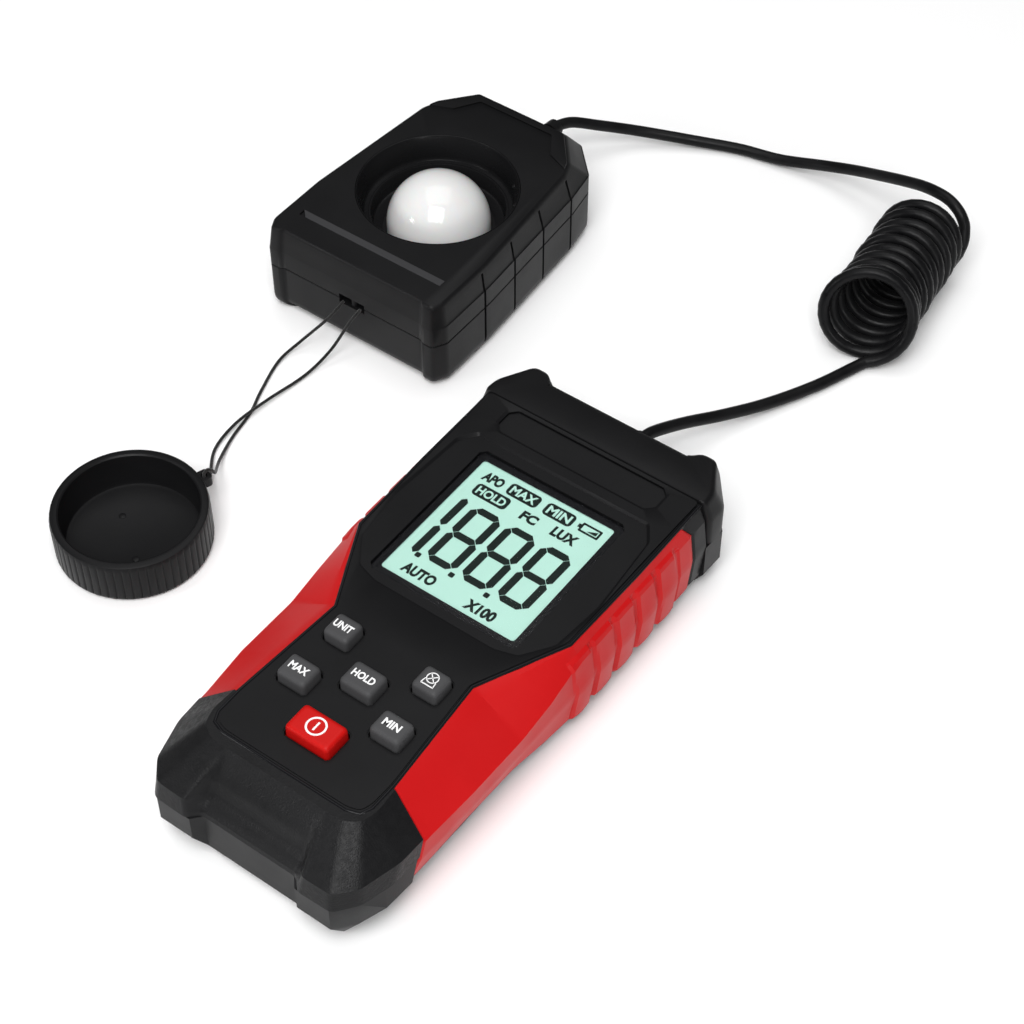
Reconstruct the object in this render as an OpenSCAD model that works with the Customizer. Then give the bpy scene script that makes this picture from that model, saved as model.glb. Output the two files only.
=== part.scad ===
// Handheld light meter with a corded sensor head and a tethered lens cap.
// The meter lies on its back on z = 0, face up, cable end towards +Y.
// Sensor head, cap and cords lie on the same floor. Millimetres, real size.

/* [Meter body] */
// Length of the meter from bumper to top ears
body_length = 157.5; // [140:0.5:180]
// Height of the black face above the back
face_z = 30.5; // [26:0.5:36]
// Height of the parting line between the front and rear shells
parting_z = 16.5; // [12:0.5:20]
// Wall thickness of the moulded shells
wall = 2.0; // [1.5:0.1:3]
// Thickness of the red grip skins over the shells
skin = 1.8; // [1.2:0.1:3]
// Half width of the face beside the display
face_half_w = 33.5; // [28:0.5:40]
// Half width of the face at the narrow waist
waist_half_w = 21; // [18:0.5:28]

/* [Display] */
// Visible width of the display
lcd_w = 40; // [30:0.5:50]
// Visible height of the display
lcd_h = 43; // [30:0.5:50]
// Thickness of the clear display window
window_t = 1.2; // [0.8:0.1:2]

/* [Keys] */
// Width of the small square keys
small_key_w = 7.4; // [6:0.1:10]
// Width of the MAX and MIN keys
mid_key_w = 8.6; // [7:0.1:11]
// Width of the HOLD key
hold_key_w = 9.4; // [7:0.1:12]
// Width of the red power key
power_key_w = 13; // [10:0.1:16]
// Length of all the grey keys along the meter
key_l = 7.2; // [6:0.1:9]
// Height of the key tops above the face
key_proud = 3.3; // [1:0.1:4]
// Travel of a key
key_travel = 0.8; // [0.4:0.1:1.5]
// Gap around a key in its opening
key_gap = 0.35; // [0.3:0.05:0.6]

/* [Batteries] */
// Diameter of one AAA cell
cell_d = 10.5; // [10:0.1:11]
// Length of one AAA cell
cell_l = 44.5; // [43:0.5:46]

/* [Sensor head] */
// Thickness of the sensor head
head_t = 30; // [24:0.5:36]
// Half width of the sensor head at its front
head_half_w = 31.3; // [26:0.1:36]
// Radius of the recess at the top face
recess_top_r = 23.7; // [20:0.1:28]
// Radius of the recess at the cap ledge
recess_ledge_r = 21.7; // [18:0.1:26]
// Depth of the cap ledge below the top face
ledge_depth = 7.8; // [5:0.1:10]
// Outer radius of the white dome
dome_r = 15.2; // [12:0.1:18]

/* [Sensor cap] */
// Outer radius of the cap
cap_r = 21.1; // [18:0.1:24]
// Height of the cap
cap_h = 13; // [9:0.5:18]
// Wall thickness of the cap
cap_wall = 2.6; // [1.5:0.1:4]

/* [Cords] */
// Diameter of the cable
cable_d = 3.4; // [2.5:0.1:5]
// Outer diameter of the coiled stretch
coil_d = 28; // [20:0.5:36]
// Diameter of the lanyard string
string_d = 0.9; // [0.6:0.1:1.5]

/* [Hidden] */
$fn = 48;
bottom_y = -78.5;
top_y = bottom_y + body_length;
seam_y = 62.5;
grip_top_y = 56;
lcd_y = 21.5;
window_top = face_z - 0.5;
window_z = window_top - window_t;
pcb_z = 18;
pcb_t = 1.6;
mat_z = pcb_z + pcb_t;
mat_t = 1.2;
key_top = face_z + key_proud;
plate_z = face_z - wall;
key_bottom = plate_z - 3.4;
mat_dome_h = key_bottom - key_travel - 0.9 - mat_z - mat_t;
sensor_x = -93.5;
sensor_y = 119.3;
cap_x = -94.5;
cap_y = -13;
head_part_z = 15.8;
shoulder_z = 22;
ledge_z = head_t - ledge_depth;
dome_z = head_t - 14;
dome_rise = 4.6;
well_r = 18.9;
relief_z = 13.5;
cell_z = 8;
battery_y = -7;
gland_z = 12.5;

// Where the four case screws stand.
case_screw_at = [[-26.5, 53.5], [26.5, 53.5], [-26, -43], [26, -43]];

// Where the four sensor head screws stand.
head_screw_at = [[-23, 88], [23, 88], [-20, 150], [20, 150]];

// Direction of the cap's lug once it is seated, from the centre of the recess.
cap_lug_angle = -71;

// Key centres: unit, max, hold, lamp, min, power.
unit_at = [-13.3, -22.9];
max_at = [-13.9, -38.8];
hold_at = [0, -31.8];
lamp_at = [13.3, -22.9];
min_at = [13.9, -38.8];
power_at = [0, -49.2];

// Cross sections of the meter from the bumper up to the top seam:
// [y, face edge, shoulder x, shoulder z, widest x, widest z, low x, low z, base x]
sections = [
    [-60, 24.0, 33.8, 21, 33.6, 15, 32.0, 8, 28.5],
    [-50, 23.6, 34.2, 21, 34.0, 15, 32.4, 8, 29.0],
    [-17, waist_half_w, 35.4, 21, 35.0, 15, 32.8, 7, 29.5],
    [-6, 26.8, 35.6, 23, 35.6, 16, 33.8, 6, 30.5],
    [7, 32.6, 35.2, 26, 36.2, 17, 35.0, 6, 32.0],
    [seam_y, face_half_w, 35.2, 26, 36.3, 17, 35.4, 6, 32.5]
];

// Route of the cable from the meter's gland to the coil.
meter_route = [
    [0, 87, gland_z], [0.6, 91, 12], [4, 101, 9], [9.5, 113, 5.4], [16, 126, 3],
    [23, 141, 2], [28.4, 158.1, 2]
];

// Ends of the coil's centre line.
coil_near = [24.6, 158.1, 14.2];
coil_far = [20.7, 201.4, 14.2];

// Route of the cable from the coil to the sensor head's gland.
sensor_route = [
    [31.8, 204.9, 12.4], [30.9, 207.3, 16.6], [29.2, 208.1, 19.4], [26.5, 209, 21.2],
    [23.1, 210.1, 21.9], [18.6, 211.2, 21.6], [13.2, 212.8, 20], [6.9, 214.5, 17.4],
    [1.2, 215.9, 14.9], [-10.7, 218.6, 9.6], [-21.9, 219.1, 5.6], [-36.2, 216.9, 2.4],
    [-49, 214.4, 1.9], [-61, 209.4, 2.4], [-77, 200, 5], [-86, 190.8, 9],
    [-91.4, 183.6, 12.4], [-93.5, 178, relief_z]
];

// Route of the string from the sensor head through the cap's lug and back.
lanyard_route = [
    [-96.6, 79, 15], [-98.5, 74, 11], [-104.5, 68, 3], [-106, 60, 0.8], [-102.5, 48, 0.6],
    [-99.5, 40, 0.6], [-97.5, 30, 0.6], [-94, 21, 2], [-89.8, 15, 5.5], [-86.4, 11.2, 10.2],
    [-86.1, 9.9, 12.6], [-86.5, 8.7, 13.4], [-86.9, 7.8, 12.4], [-86.9, 7.8, 10.5],
    [-86.9, 7.8, 8.7], [-87.4, 9.2, 6.9], [-88.8, 11.5, 4.5], [-93, 16, 2], [-98.5, 24, 0.7],
    [-99.5, 34, 1.6], [-98.2, 46, 1.6], [-96.4, 60, 0.8], [-95, 70, 3.5], [-92.5, 76, 11],
    [-90.6, 79, 15]
];

// ---- helpers ----

// A closed cross section, inset by d all round.
function ring_of(s, d) = let(
    a = s[1] - d * 0.9,
    t = face_z - min(d, wall)
) [
    [a, t], [s[2] - d, s[3] - d * 0.4], [s[4] - d, s[5]], [s[6] - d, s[7]], [s[8] - d, d],
    [-(s[8] - d), d], [-(s[6] - d), s[7]], [-(s[4] - d), s[5]],
    [-(s[2] - d), s[3] - d * 0.4], [-a, t]
];

// Solid lofted through every cross section, inset by d.
module body_loft(d) {
    n = len(sections);
    m = 10;
    pts = [for (s = sections) for (p = ring_of(s, d)) [p[0], s[0], p[1]]];
    sides = [for (i = [0:n - 2]) for (j = [0:m - 1]) for (k = [0:1])
        let(a = i * m + j, b = i * m + (j + 1) % m, c = a + m, e = b + m)
        k == 0 ? [a, c, b] : [b, c, e]];
    start = [for (j = [1:m - 2]) [0, j, j + 1]];
    finish = [for (j = [1:m - 2]) [(n - 1) * m, (n - 1) * m + j + 1, (n - 1) * m + j]];
    polyhedron(points = pts, faces = concat(sides, start, finish), convexity = 6);
}

// Rectangular block with chamfered vertical corners, centred in x and y.
module chamfer_block(w, l, h, c) {
    linear_extrude(h)
        polygon([
            [-w / 2 + c, -l / 2], [w / 2 - c, -l / 2], [w / 2, -l / 2 + c], [w / 2, l / 2 - c],
            [w / 2 - c, l / 2], [-w / 2 + c, l / 2], [-w / 2, l / 2 - c], [-w / 2, -l / 2 + c]
        ]);
}

// Outline of the top end seen from above.
module cap_outline(d, y0 = seam_y) {
    polygon([
        [-36.3 + d, y0], [36.3 - d, y0], [36.5 - d, 69], [28.5 - d / 2, top_y - d],
        [24.5, top_y - d], [21.5, 76 - d], [-21.5, 76 - d], [-24.5, top_y - d],
        [-28.5 + d / 2, top_y - d], [-36.5 + d, 69]
    ]);
}

// Space between the two ears of the top end.
module end_notch() {
    translate([0, 0, -1]) linear_extrude(40)
        polygon([[-21.5, 76], [21.5, 76], [24.7, top_y + 0.2], [-24.7, top_y + 0.2]]);
}

// Outline of the bumper at the parting line seen from above.
module bumper_outline(d) {
    polygon([
        [-33.8 + d, -54], [-33 + d, -66], [-30.5 + d, -73], [-26 + d / 2, bottom_y + d],
        [-15, bottom_y + d], [15, bottom_y + d], [26 - d / 2, bottom_y + d],
        [30.5 - d, -73], [33 - d, -66], [33.8 - d, -54]
    ]);
}

// Outline of the bumper at the face.
module bumper_top_outline(d) {
    polygon([
        [-23.8 + d, -50.5], [-24.6 + d, -58], [-23 + d, -62], [-19 + d / 2, -63.8 + d],
        [19 - d / 2, -63.8 + d], [23 - d, -62], [24.6 - d, -58], [23.8 - d, -50.5]
    ]);
}

// Upper half of the bumper, above the parting line.
module bumper_upper(d) {
    hull() {
        translate([0, 0, face_z - d - 0.4]) linear_extrude(0.4) bumper_top_outline(d);
        translate([0, 0, parting_z]) linear_extrude(1) bumper_outline(d);
    }
}

// Rear half of the bumper, below the parting line.
module bumper_lower(d) {
    hull() {
        translate([0, 0, 8.5]) linear_extrude(parting_z - 8.5) bumper_outline(d + 0.4);
        translate([0, 0, d]) linear_extrude(1) bumper_outline(d + 5.5);
    }
}

// Hollow between the two horns of the bumper, steeper below the parting line.
module bumper_scoop() {
    translate([0, 0, -1]) linear_extrude(parting_z + 1.1)
        polygon([
            [-17.8, bottom_y - 2], [17.8, bottom_y - 2], [16.2, bottom_y], [13.6, bottom_y + 3],
            [-13.6, bottom_y + 3], [-16.2, bottom_y]
        ]);
    hull() {
        translate([-13.5, bottom_y - 4, parting_z]) cube([27, 7, 0.1]);
        translate([-14.5, bottom_y - 4, face_z]) cube([29, 18.1, 0.1]);
    }
}

// Rear half of the top end, below the parting line.
module end_lower(d) {
    hull() {
        translate([0, 0, 6]) linear_extrude(parting_z - 6) cap_outline(d, seam_y - 1);
        translate([0, 0, d]) linear_extrude(1)
            polygon([
                [-32.5 + d, seam_y - 1], [32.5 - d, seam_y - 1], [32 - d, 68],
                [25 - d, 75 - d], [-25 + d, 75 - d], [-32 + d, 68]
            ]);
    }
}

// Everything on the bumper's side of the slanted seam with the grips.
module bumper_side(gap) {
    translate([0, -50.5 - gap, face_z]) rotate([-17, 0, 0])
        translate([-60, -60, -60]) cube([120, 60, 80]);
}

// Narrow nose of the front case inside the bumper.
module case_nose(d) {
    translate([-21.5 + d, -60.5 + d, parting_z - (d > 0 ? 1 : 0)])
        cube([43 - 2 * d, 12 + 3 * d, plate_z - parting_z + (d > 0 ? 1 : 0)]);
}

// Plan outline of the black face.
module face_outline(d) {
    polygon([
        [-23.2 + d, -57], [-22 + d, -60.6 + d], [-18.5 + d / 2, -61.8 + d],
        [18.5 - d / 2, -61.8 + d], [22 - d, -60.6 + d], [23.2 - d, -57], [23.4 - d, -50], [waist_half_w - d, -17],
        [32.6 - d, 7], [face_half_w - d, seam_y - 0.1],
        [-face_half_w + d, seam_y - 0.1], [-32.6 + d, 7], [-waist_half_w + d, -17],
        [-23.4 + d, -50]
    ]);
}

// One rectangular opening for a key.
module key_hole(at, w, l) {
    translate([at[0], at[1], plate_z - 3])
        chamfer_block(w + 2 * key_gap, l + 2 * key_gap, 10, 0.8);
}

// Every key opening in the face.
module key_holes() {
    key_hole(unit_at, small_key_w, key_l);
    key_hole(max_at, mid_key_w, key_l);
    key_hole(hold_at, hold_key_w, key_l + 0.4);
    key_hole(lamp_at, small_key_w, key_l);
    key_hole(min_at, mid_key_w, key_l);
    key_hole(power_at, power_key_w, key_l + 1.2);
}

// One key with the flange that keeps it under the face.
module key_body(at, w, l) {
    translate([at[0], at[1], key_bottom]) chamfer_block(w, l, key_top - key_bottom, 0.8);
    translate([at[0], at[1], plate_z - 1.3]) chamfer_block(w + 2, l + 2, 1.2, 0.8);
}

// ---- meter ----

module front_case() {
    color([0.06, 0.06, 0.065])
    difference() {
        union() {
            intersection() {
                body_loft(skin);
                translate([-60, -50, parting_z]) cube([120, seam_y + 49.9, 30]);
            }
            case_nose(0);
            translate([0, 0, plate_z]) linear_extrude(wall) face_outline(0);
        }
        // inside of the shell
        difference() {
            intersection() {
                body_loft(skin + wall);
                translate([-60, -48, parting_z - 5]) cube([120, 108, plate_z - parting_z + 5]);
            }
            for (p = case_screw_at) translate([p[0], p[1], 0]) cylinder(d = 6, h = 40);
        }
        case_nose(wall - 0.2);
        // display window pocket and opening
        translate([0, lcd_y, window_z]) chamfer_block(lcd_w + 5, lcd_h + 5, 5, 1.5);
        translate([-lcd_w / 2 - 0.3, lcd_y - lcd_h / 2 - 0.3, 15])
            cube([lcd_w + 0.6, lcd_h + 0.6, 20]);
        // shallow recess for the name plate
        translate([0, 57.2, face_z - 0.8]) chamfer_block(49.4, 9, 2, 2);
        key_holes();
        // screw pilot holes
        for (p = case_screw_at) translate([p[0], p[1], 0]) cylinder(d = 2.2, h = 22);
    }
}

module rear_case() {
    color([0.07, 0.07, 0.075])
    difference() {
        union() {
            difference() {
                union() {
                    intersection() {
                        body_loft(skin);
                        translate([-60, -61, 0]) cube([120, seam_y + 61, parting_z]);
                    }
                    intersection() {
                        body_loft(0);
                        translate([-60, -61, 0]) cube([120, seam_y + 61, 3.2]);
                    }
                    intersection() {
                        bumper_lower(0);
                        bumper_side(0.05);
                    }
                    end_lower(0);
                }
                // inside of the shell
                intersection() {
                    body_loft(skin + wall);
                    translate([-60, -56, 0]) cube([120, seam_y + 60, parting_z + 1]);
                }
                bumper_lower_hollow();
                translate([-20, 60, 6]) cube([40, 12.5, parting_z]);
            }
            // screw posts
            for (p = case_screw_at) translate([p[0], p[1], 1]) cylinder(d = 7, h = parting_z - 1);
            // battery box and the posts under the main board
            translate([-20.5, battery_y - 55, 0.5]) cube([41, 58.5, 14]);
            for (x = [-16, 16]) translate([x, -14, 14]) cylinder(d = 5, h = pcb_z - 14);
            translate([0, 51, 2]) cylinder(d = 5, h = pcb_z - 2);
            // boss for the tripod insert
            translate([0, 38, 0.5]) cylinder(d = 14, h = 11);
        }
        bumper_scoop();
        // battery bay and the seat of its door
        translate([-18.3, battery_y - 46.8, -1]) cube([36.6, 47.6, 14.5]);
        translate([0, battery_y - 24.85, -1]) chamfer_block(44.8, 57.5, 3.7, 1);
        for (x = [-14, 14]) translate([x - 4.4, battery_y + 2, 1.1]) cube([8.8, 5.4, 1.6]);
        // screw holes and head recesses
        for (p = case_screw_at) {
            translate([p[0], p[1], -1]) cylinder(d = 3, h = 30);
            translate([p[0], p[1], -1]) cylinder(d = 5.6, h = 4);
        }
        // blind bore for the insert
        translate([0, 38, -1]) cylinder(d = 9, h = 10.5);
        end_notch();
        // outlet for the gland
        translate([0, 60, gland_z]) rotate([-90, 0, 0]) cylinder(d = 7.1, h = 20);
    }
}

module bumper_lower_hollow() {
    intersection() {
        bumper_lower(wall);
        translate([-60, -74, 0]) cube([120, 20, 40]);
    }
}

module top_end_cap() {
    color([0.055, 0.055, 0.06])
    difference() {
        union() {
            translate([0, 0, parting_z]) linear_extrude(face_z - 5 - parting_z) cap_outline(0);
            hull() {
                translate([0, 0, face_z - 5]) linear_extrude(0.1) cap_outline(0);
                translate([0, 0, face_z]) linear_extrude(1.2)
                    polygon([
                        [-34, seam_y], [34, seam_y], [33.5, 67.5], [28, 76.8],
                        [-28, 76.8], [-33.5, 67.5]
                    ]);
            }
        }
        // step down between the two ears
        translate([-22.5, 73.5, face_z - 1.2]) cube([45, 8, 4]);
        end_notch();
        translate([-33, seam_y - 1, parting_z - 1]) cube([66, 7, face_z - 1.5 - parting_z]);
        translate([-23, seam_y - 1, parting_z - 1]) cube([46, 11, face_z - 4 - parting_z]);
    }
}

module bottom_bumper() {
    color([0.08, 0.08, 0.085])
    difference() {
        bumper_upper(0);
        // room for the front case and the ends of the grips
        translate([0, 0, plate_z]) linear_extrude(10) face_outline(0);
        translate([-21.55, -60.55, 0]) cube([43.1, 40, 40]);
        difference() {
            translate([-60, -60, 0]) cube([120, 60, 60]);
            bumper_side(0.05);
        }
        bumper_scoop();
        // hollow horns, open towards the rear shell
        for (s = [-1, 1]) hull() {
            translate([s * 27 - 3, -72, parting_z - 1]) cube([6, 14, 1]);
            translate([s * 25 - 2, -67, parting_z + 4]) cube([4, 8, 1]);
        }
    }
}

module grip_half(s) {
    color([0.78, 0.03, 0.04])
    difference() {
        intersection() {
            body_loft(0);
            translate([s > 0 ? 15 : -75, -59.5, 3.4]) cube([60, grip_top_y + 59.5, 40]);
        }
        body_loft(skin - 0.05);
        translate([0, 0, plate_z - 2]) linear_extrude(10) face_outline(0);
        bumper_side(0);
    }
}

module left_grip() {
    grip_half(-1);
}

module right_grip() {
    grip_half(1);
}

module name_plate() {
    color([0.1, 0.1, 0.11])
        translate([0, 57.2, face_z - 0.8]) chamfer_block(49, 8.6, 0.5, 1.9);
}

module lcd_window() {
    color([0.7, 0.85, 0.82, 0.5])
        translate([0, lcd_y, window_z]) chamfer_block(lcd_w + 4.6, lcd_h + 4.6, window_t, 1.4);
}

module lcd_frame() {
    color([0.12, 0.12, 0.12])
        translate([0, lcd_y, mat_z])
        difference() {
            translate([-24, -26, 0]) cube([48, 52, plate_z - mat_z - 0.1]);
            translate([-22, -24, -1]) cube([44, 48, 20]);
        }
}

module lcd_glass() {
    color([0.66, 0.86, 0.8])
        translate([-21.5, lcd_y - 23.5, 25.6]) cube([43, 47, 2.2]);
}

module backlight() {
    color([0.92, 0.94, 0.9])
        translate([-21, lcd_y - 20.5, 22.8]) cube([42, 41, 2.6]);
}

module zebra_strips() {
    color([0.75, 0.5, 0.55])
        for (y = [-22.3, 22.3])
            translate([-20, lcd_y + y - 1, mat_z]) cube([40, 2, 6]);
}

module main_board() {
    color([0.05, 0.3, 0.14])
    difference() {
        translate([0, 0, pcb_z]) linear_extrude(pcb_t)
            polygon([
                [-19, -56], [19, -56], [19, -17], [28, 7], [28, 46], [21, 55],
                [-21, 55], [-28, 46], [-28, 7], [-19, -17]
            ]);
        for (x = [-16, 16]) translate([x, -14, pcb_z - 1]) cylinder(d = 2.6, h = 4);
        translate([0, 51, pcb_z - 1]) cylinder(d = 2.2, h = 4);
    }
}

module chips() {
    color([0.03, 0.03, 0.03]) {
        translate([0, 20, pcb_z - 1.4]) cylinder(d = 16, h = 1.4);
        translate([-22, 30, pcb_z - 1.6]) cube([8, 6, 1.6]);
        translate([14, 30, pcb_z - 1.2]) cube([7, 5, 1.2]);
        translate([-20, 10, pcb_z - 2.2]) cube([5, 5, 2.2]);
        translate([12, 8, pcb_z - 2.2]) cube([6, 4, 2.2]);
    }
}

module buzzer() {
    color([0.05, 0.05, 0.05])
        translate([-20, 44, pcb_z - 5])
        difference() {
            cylinder(d = 12, h = 5);
            translate([0, 0, -1]) cylinder(d = 2, h = 2.5);
        }
}

module key_mat() {
    color([0.55, 0.55, 0.56]) {
        translate([-18, -54, mat_z]) cube([36, 36, mat_t]);
        for (p = [unit_at, max_at, hold_at, lamp_at, min_at, power_at])
            translate([p[0], p[1], mat_z + mat_t]) cylinder(d1 = 6.4, d2 = 4, h = mat_dome_h);
    }
}

module key_unit() {
    color([0.33, 0.33, 0.34]) key_body(unit_at, small_key_w, key_l);
}

module key_max() {
    color([0.33, 0.33, 0.34]) key_body(max_at, mid_key_w, key_l);
}

module key_hold() {
    color([0.33, 0.33, 0.34]) key_body(hold_at, hold_key_w, key_l + 0.4);
}

module key_lamp() {
    color([0.33, 0.33, 0.34]) key_body(lamp_at, small_key_w, key_l);
}

module key_min() {
    color([0.33, 0.33, 0.34]) key_body(min_at, mid_key_w, key_l);
}

module key_power() {
    color([0.85, 0.05, 0.05]) key_body(power_at, power_key_w, key_l + 1.2);
}

module battery_door() {
    color([0.065, 0.065, 0.07])
    translate([0, battery_y, 0])
    difference() {
        union() {
            translate([0, -22.7, 0.4]) chamfer_block(44, 52.4, 2, 0.8);
            for (x = [-14, 14]) translate([x - 4, 3, 1.5]) cube([8, 3.6, 0.9]);
        }
        // thumb grooves
        for (y = [-44:3:-35]) translate([-8, y, 0]) cube([16, 1.2, 0.9]);
    }
}

module battery_cells() {
    color([0.75, 0.62, 0.2])
        for (i = [-1:1])
            translate([i * 11.5, battery_y - 45.2, cell_z]) rotate([-90, 0, 0]) {
                cylinder(d = cell_d, h = cell_l - 1);
                translate([0, 0, cell_l - 1]) cylinder(d = 3.8, h = 1);
            }
}

module battery_contacts() {
    color([0.8, 0.8, 0.78]) translate([0, battery_y, 0]) {
        for (i = [-1:1]) {
            translate([i * 11.5 - 4, -46.8, 4]) cube([8, 0.4, 8]);
            translate([i * 11.5, -46.4, cell_z]) rotate([-90, 0, 0]) cylinder(d = 5, h = 1.2);
            translate([i * 11.5 - 4, 0.4, 4]) cube([8, 0.4, 8]);
            translate([i * 11.5, -0.7, cell_z]) rotate([-90, 0, 0]) cylinder(d = 4, h = 1.1);
        }
    }
}

module case_screws() {
    color([0.7, 0.7, 0.72])
        for (p = case_screw_at)
            translate([p[0], p[1], 0]) {
                difference() {
                    translate([0, 0, 1]) cylinder(d = 5, h = 2);
                    translate([-1.6, -0.3, 0]) cube([3.2, 0.6, 2]);
                    translate([-0.3, -1.6, 0]) cube([0.6, 3.2, 2]);
                }
                translate([0, 0, 3]) cylinder(d = 2.2, h = 18);
            }
}

module tripod_insert() {
    color([0.78, 0.6, 0.25])
        translate([0, 38, 0.4])
        difference() {
            cylinder(d = 9, h = 9.1);
            translate([0, 0, -1]) cylinder(d = 5.1, h = 9);
        }
}

module meter_gland() {
    color([0.05, 0.05, 0.05])
        translate([0, 0, gland_z]) rotate([-90, 0, 0])
        difference() {
            union() {
                translate([0, 0, 69]) cylinder(d = 9, h = 2.5);
                translate([0, 0, 71.5]) cylinder(d = 7, h = 4.4);
                translate([0, 0, 75.9]) cylinder(d1 = 7.6, d2 = 5.4, h = 11.1);
            }
            for (y = [78:2.4:85]) translate([0, 0, y])
                difference() {
                    cylinder(d = 9, h = 0.8);
                    translate([0, 0, -1]) cylinder(d = 5, h = 3);
                }
        }
}

// ---- sensor head ----

// Outline of the sensor head, shrunk at the sides by d and at the ends by e.
module head_outline(d, e) {
    polygon([
        [-29 + d, 78 + e], [29 - d, 78 + e], [head_half_w - d, 82 + e],
        [head_half_w - d, 102], [28.6 - d, 146], [26.8 - d, 157 - e], [17 - d, 167 - e],
        [-17 + d, 167 - e], [-26.8 + d, 157 - e], [-28.6 + d, 146],
        [-head_half_w + d, 102], [-head_half_w + d, 82 + e]
    ]);
}

// Outline of the sensor head's top, shrunk by d.
module head_top_outline(d) {
    polygon([
        [-28.4 + d, 79 + d], [28.4 - d, 79 + d], [30 - d, 82.2 + d], [30 - d, 102],
        [25.8 - d, 146.5], [24 - d, 150.2 - d / 2], [15.8 - d / 2, 160.4 - d],
        [-15.8 + d / 2, 160.4 - d], [-24 + d, 150.2 - d / 2], [-25.8 + d, 146.5],
        [-30 + d, 102], [-30 + d, 82.2 + d]
    ]);
}

// Narrow upright grooves in both sides of the sensor head, and its sunk front face.
module head_grooves() {
    for (s = [-1, 1])
        for (g = [[99.8, 31.4], [115, 30.5], [130.2, 29.5], [145.3, 28.6]])
            translate([s * g[1] - 0.9, g[0] - 0.6, -1]) cube([1.8, 1.2, 28]);
    translate([-24.8, 76, -1]) cube([49.6, 2.7, head_t - 2]);
}

module sensor_front_case() {
    color([0.055, 0.055, 0.06])
    translate([sensor_x, 0, 0])
    difference() {
        hull() {
            translate([0, 0, head_part_z]) linear_extrude(shoulder_z - head_part_z) head_outline(0, 0);
            translate([0, 0, head_t - 0.6]) linear_extrude(0.6) head_top_outline(0);
        }
        // inside of the shell
        difference() {
            hull() {
                translate([0, 0, head_part_z - 1]) linear_extrude(shoulder_z - head_part_z)
                    head_outline(wall + 2.2, wall + 0.6);
                translate([0, 0, head_t - wall - 0.5]) linear_extrude(0.5) head_top_outline(wall + 1);
            }
            translate([0, sensor_y, 0]) cylinder(r = recess_top_r + 1.6, h = 40);
            for (p = head_screw_at) translate([p[0], p[1], 0]) cylinder(d = 5.6, h = 40);
        }
        // opening for the bezel
        translate([0, sensor_y, 0]) cylinder(r = recess_top_r, h = 40);
        translate([0, sensor_y, 0]) lug_notch();
        head_grooves();
        // accent strip slot
        translate([-25, 87.4, head_t - 0.5]) cube([50, 2.4, 2]);
        // lanyard slot above the parting line
        translate([-4.5, 76, head_part_z - 0.6]) cube([9, 6.2, 2.2]);
        translate([0, 162, relief_z]) rotate([-90, 0, 0]) cylinder(d = 6.5, h = 10);
        for (p = head_screw_at) translate([p[0], p[1], 0]) cylinder(d = 2.2, h = 24);
    }
}

module sensor_rear_case() {
    color([0.06, 0.06, 0.065])
    translate([sensor_x, 80.4, head_part_z - 2]) cylinder(d = 2.2, h = 3.2, $fn = 24);
    color([0.06, 0.06, 0.065])
    translate([sensor_x, 0, 0])
    difference() {
        hull() {
            translate([0, 0, 3.4]) linear_extrude(head_part_z - 3.4) head_outline(0, 0);
            linear_extrude(1) head_outline(3, 3);
        }
        difference() {
            translate([0, 0, 2.2]) linear_extrude(30) head_outline(wall + 1.4, wall + 1.2);
            for (p = head_screw_at) translate([p[0], p[1], 0]) cylinder(d = 6.6, h = 40);
            // posts under the sensor board
            for (x = [-15, 15]) for (y = [-13, 15])
                translate([x, sensor_y + y, 0]) cylinder(d = 4, h = 7);
        }
        head_grooves();
        // post side of the lanyard slot
        translate([-4.5, 76, head_part_z - 1.6]) cube([9, 6.2, 3]);
        translate([0, 162, relief_z]) rotate([-90, 0, 0]) cylinder(d = 6.5, h = 10);
        for (p = head_screw_at) {
            translate([p[0], p[1], -1]) cylinder(d = 2.8, h = 30);
            translate([p[0], p[1], -1]) cylinder(d = 5.2, h = 3.6);
        }
    }
}

// Notch in the recess for the lug of the cap.
module lug_notch() {
    rotate([0, 0, cap_lug_angle]) translate([recess_ledge_r - 1.2, -2.2, ledge_z + 0.3])
        cube([3.9, 4.4, 20]);
}

module accent_strip() {
    color([0.25, 0.25, 0.26])
    translate([sensor_x, 0, head_t - 0.5]) linear_extrude(0.6)
        polygon([[-25, 89.75], [25, 89.75], [25, 87.45], [-22.7, 87.45]]);
}

module sensor_bezel() {
    color([0.04, 0.04, 0.042])
    translate([sensor_x, sensor_y, 0])
    difference() {
        rotate_extrude($fn = 96)
            polygon([
                [well_r, dome_z - 3.2], [recess_top_r - 0.1, dome_z - 3.2],
                [recess_top_r - 0.1, head_t - 0.2], [recess_top_r - 0.2, head_t],
                [recess_ledge_r, ledge_z], [well_r, ledge_z]
            ]);
        lug_notch();
    }
    color([0.04, 0.04, 0.042])
    translate([sensor_x, sensor_y, dome_z - 4.5])
        difference() {
            cylinder(r = recess_top_r - 0.1, h = 1.5);
            translate([0, 0, -1]) cylinder(r = 6, h = 4);
        }
}

module sensor_dome() {
    color([0.96, 0.96, 0.95])
    translate([sensor_x, sensor_y, dome_z - 3])
        rotate_extrude($fn = 96)
            polygon(concat(
                [[0, dome_rise + dome_r - 1.4]],
                [for (a = [84:-6:0]) [(dome_r - 1.4) * cos(a), dome_rise + (dome_r - 1.4) * sin(a)]],
                [[dome_r - 1.4, 0], [dome_r + 2.4, 0], [dome_r + 2.4, 1.2], [dome_r, 1.2]],
                [for (a = [0:6:84]) [dome_r * cos(a), dome_rise + dome_r * sin(a)]],
                [[0, dome_rise + dome_r]]
            ));
}

module colour_filter() {
    color([0.35, 0.5, 0.35])
        translate([sensor_x, sensor_y, 11.7]) cylinder(d = 11, h = 1);
}

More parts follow.
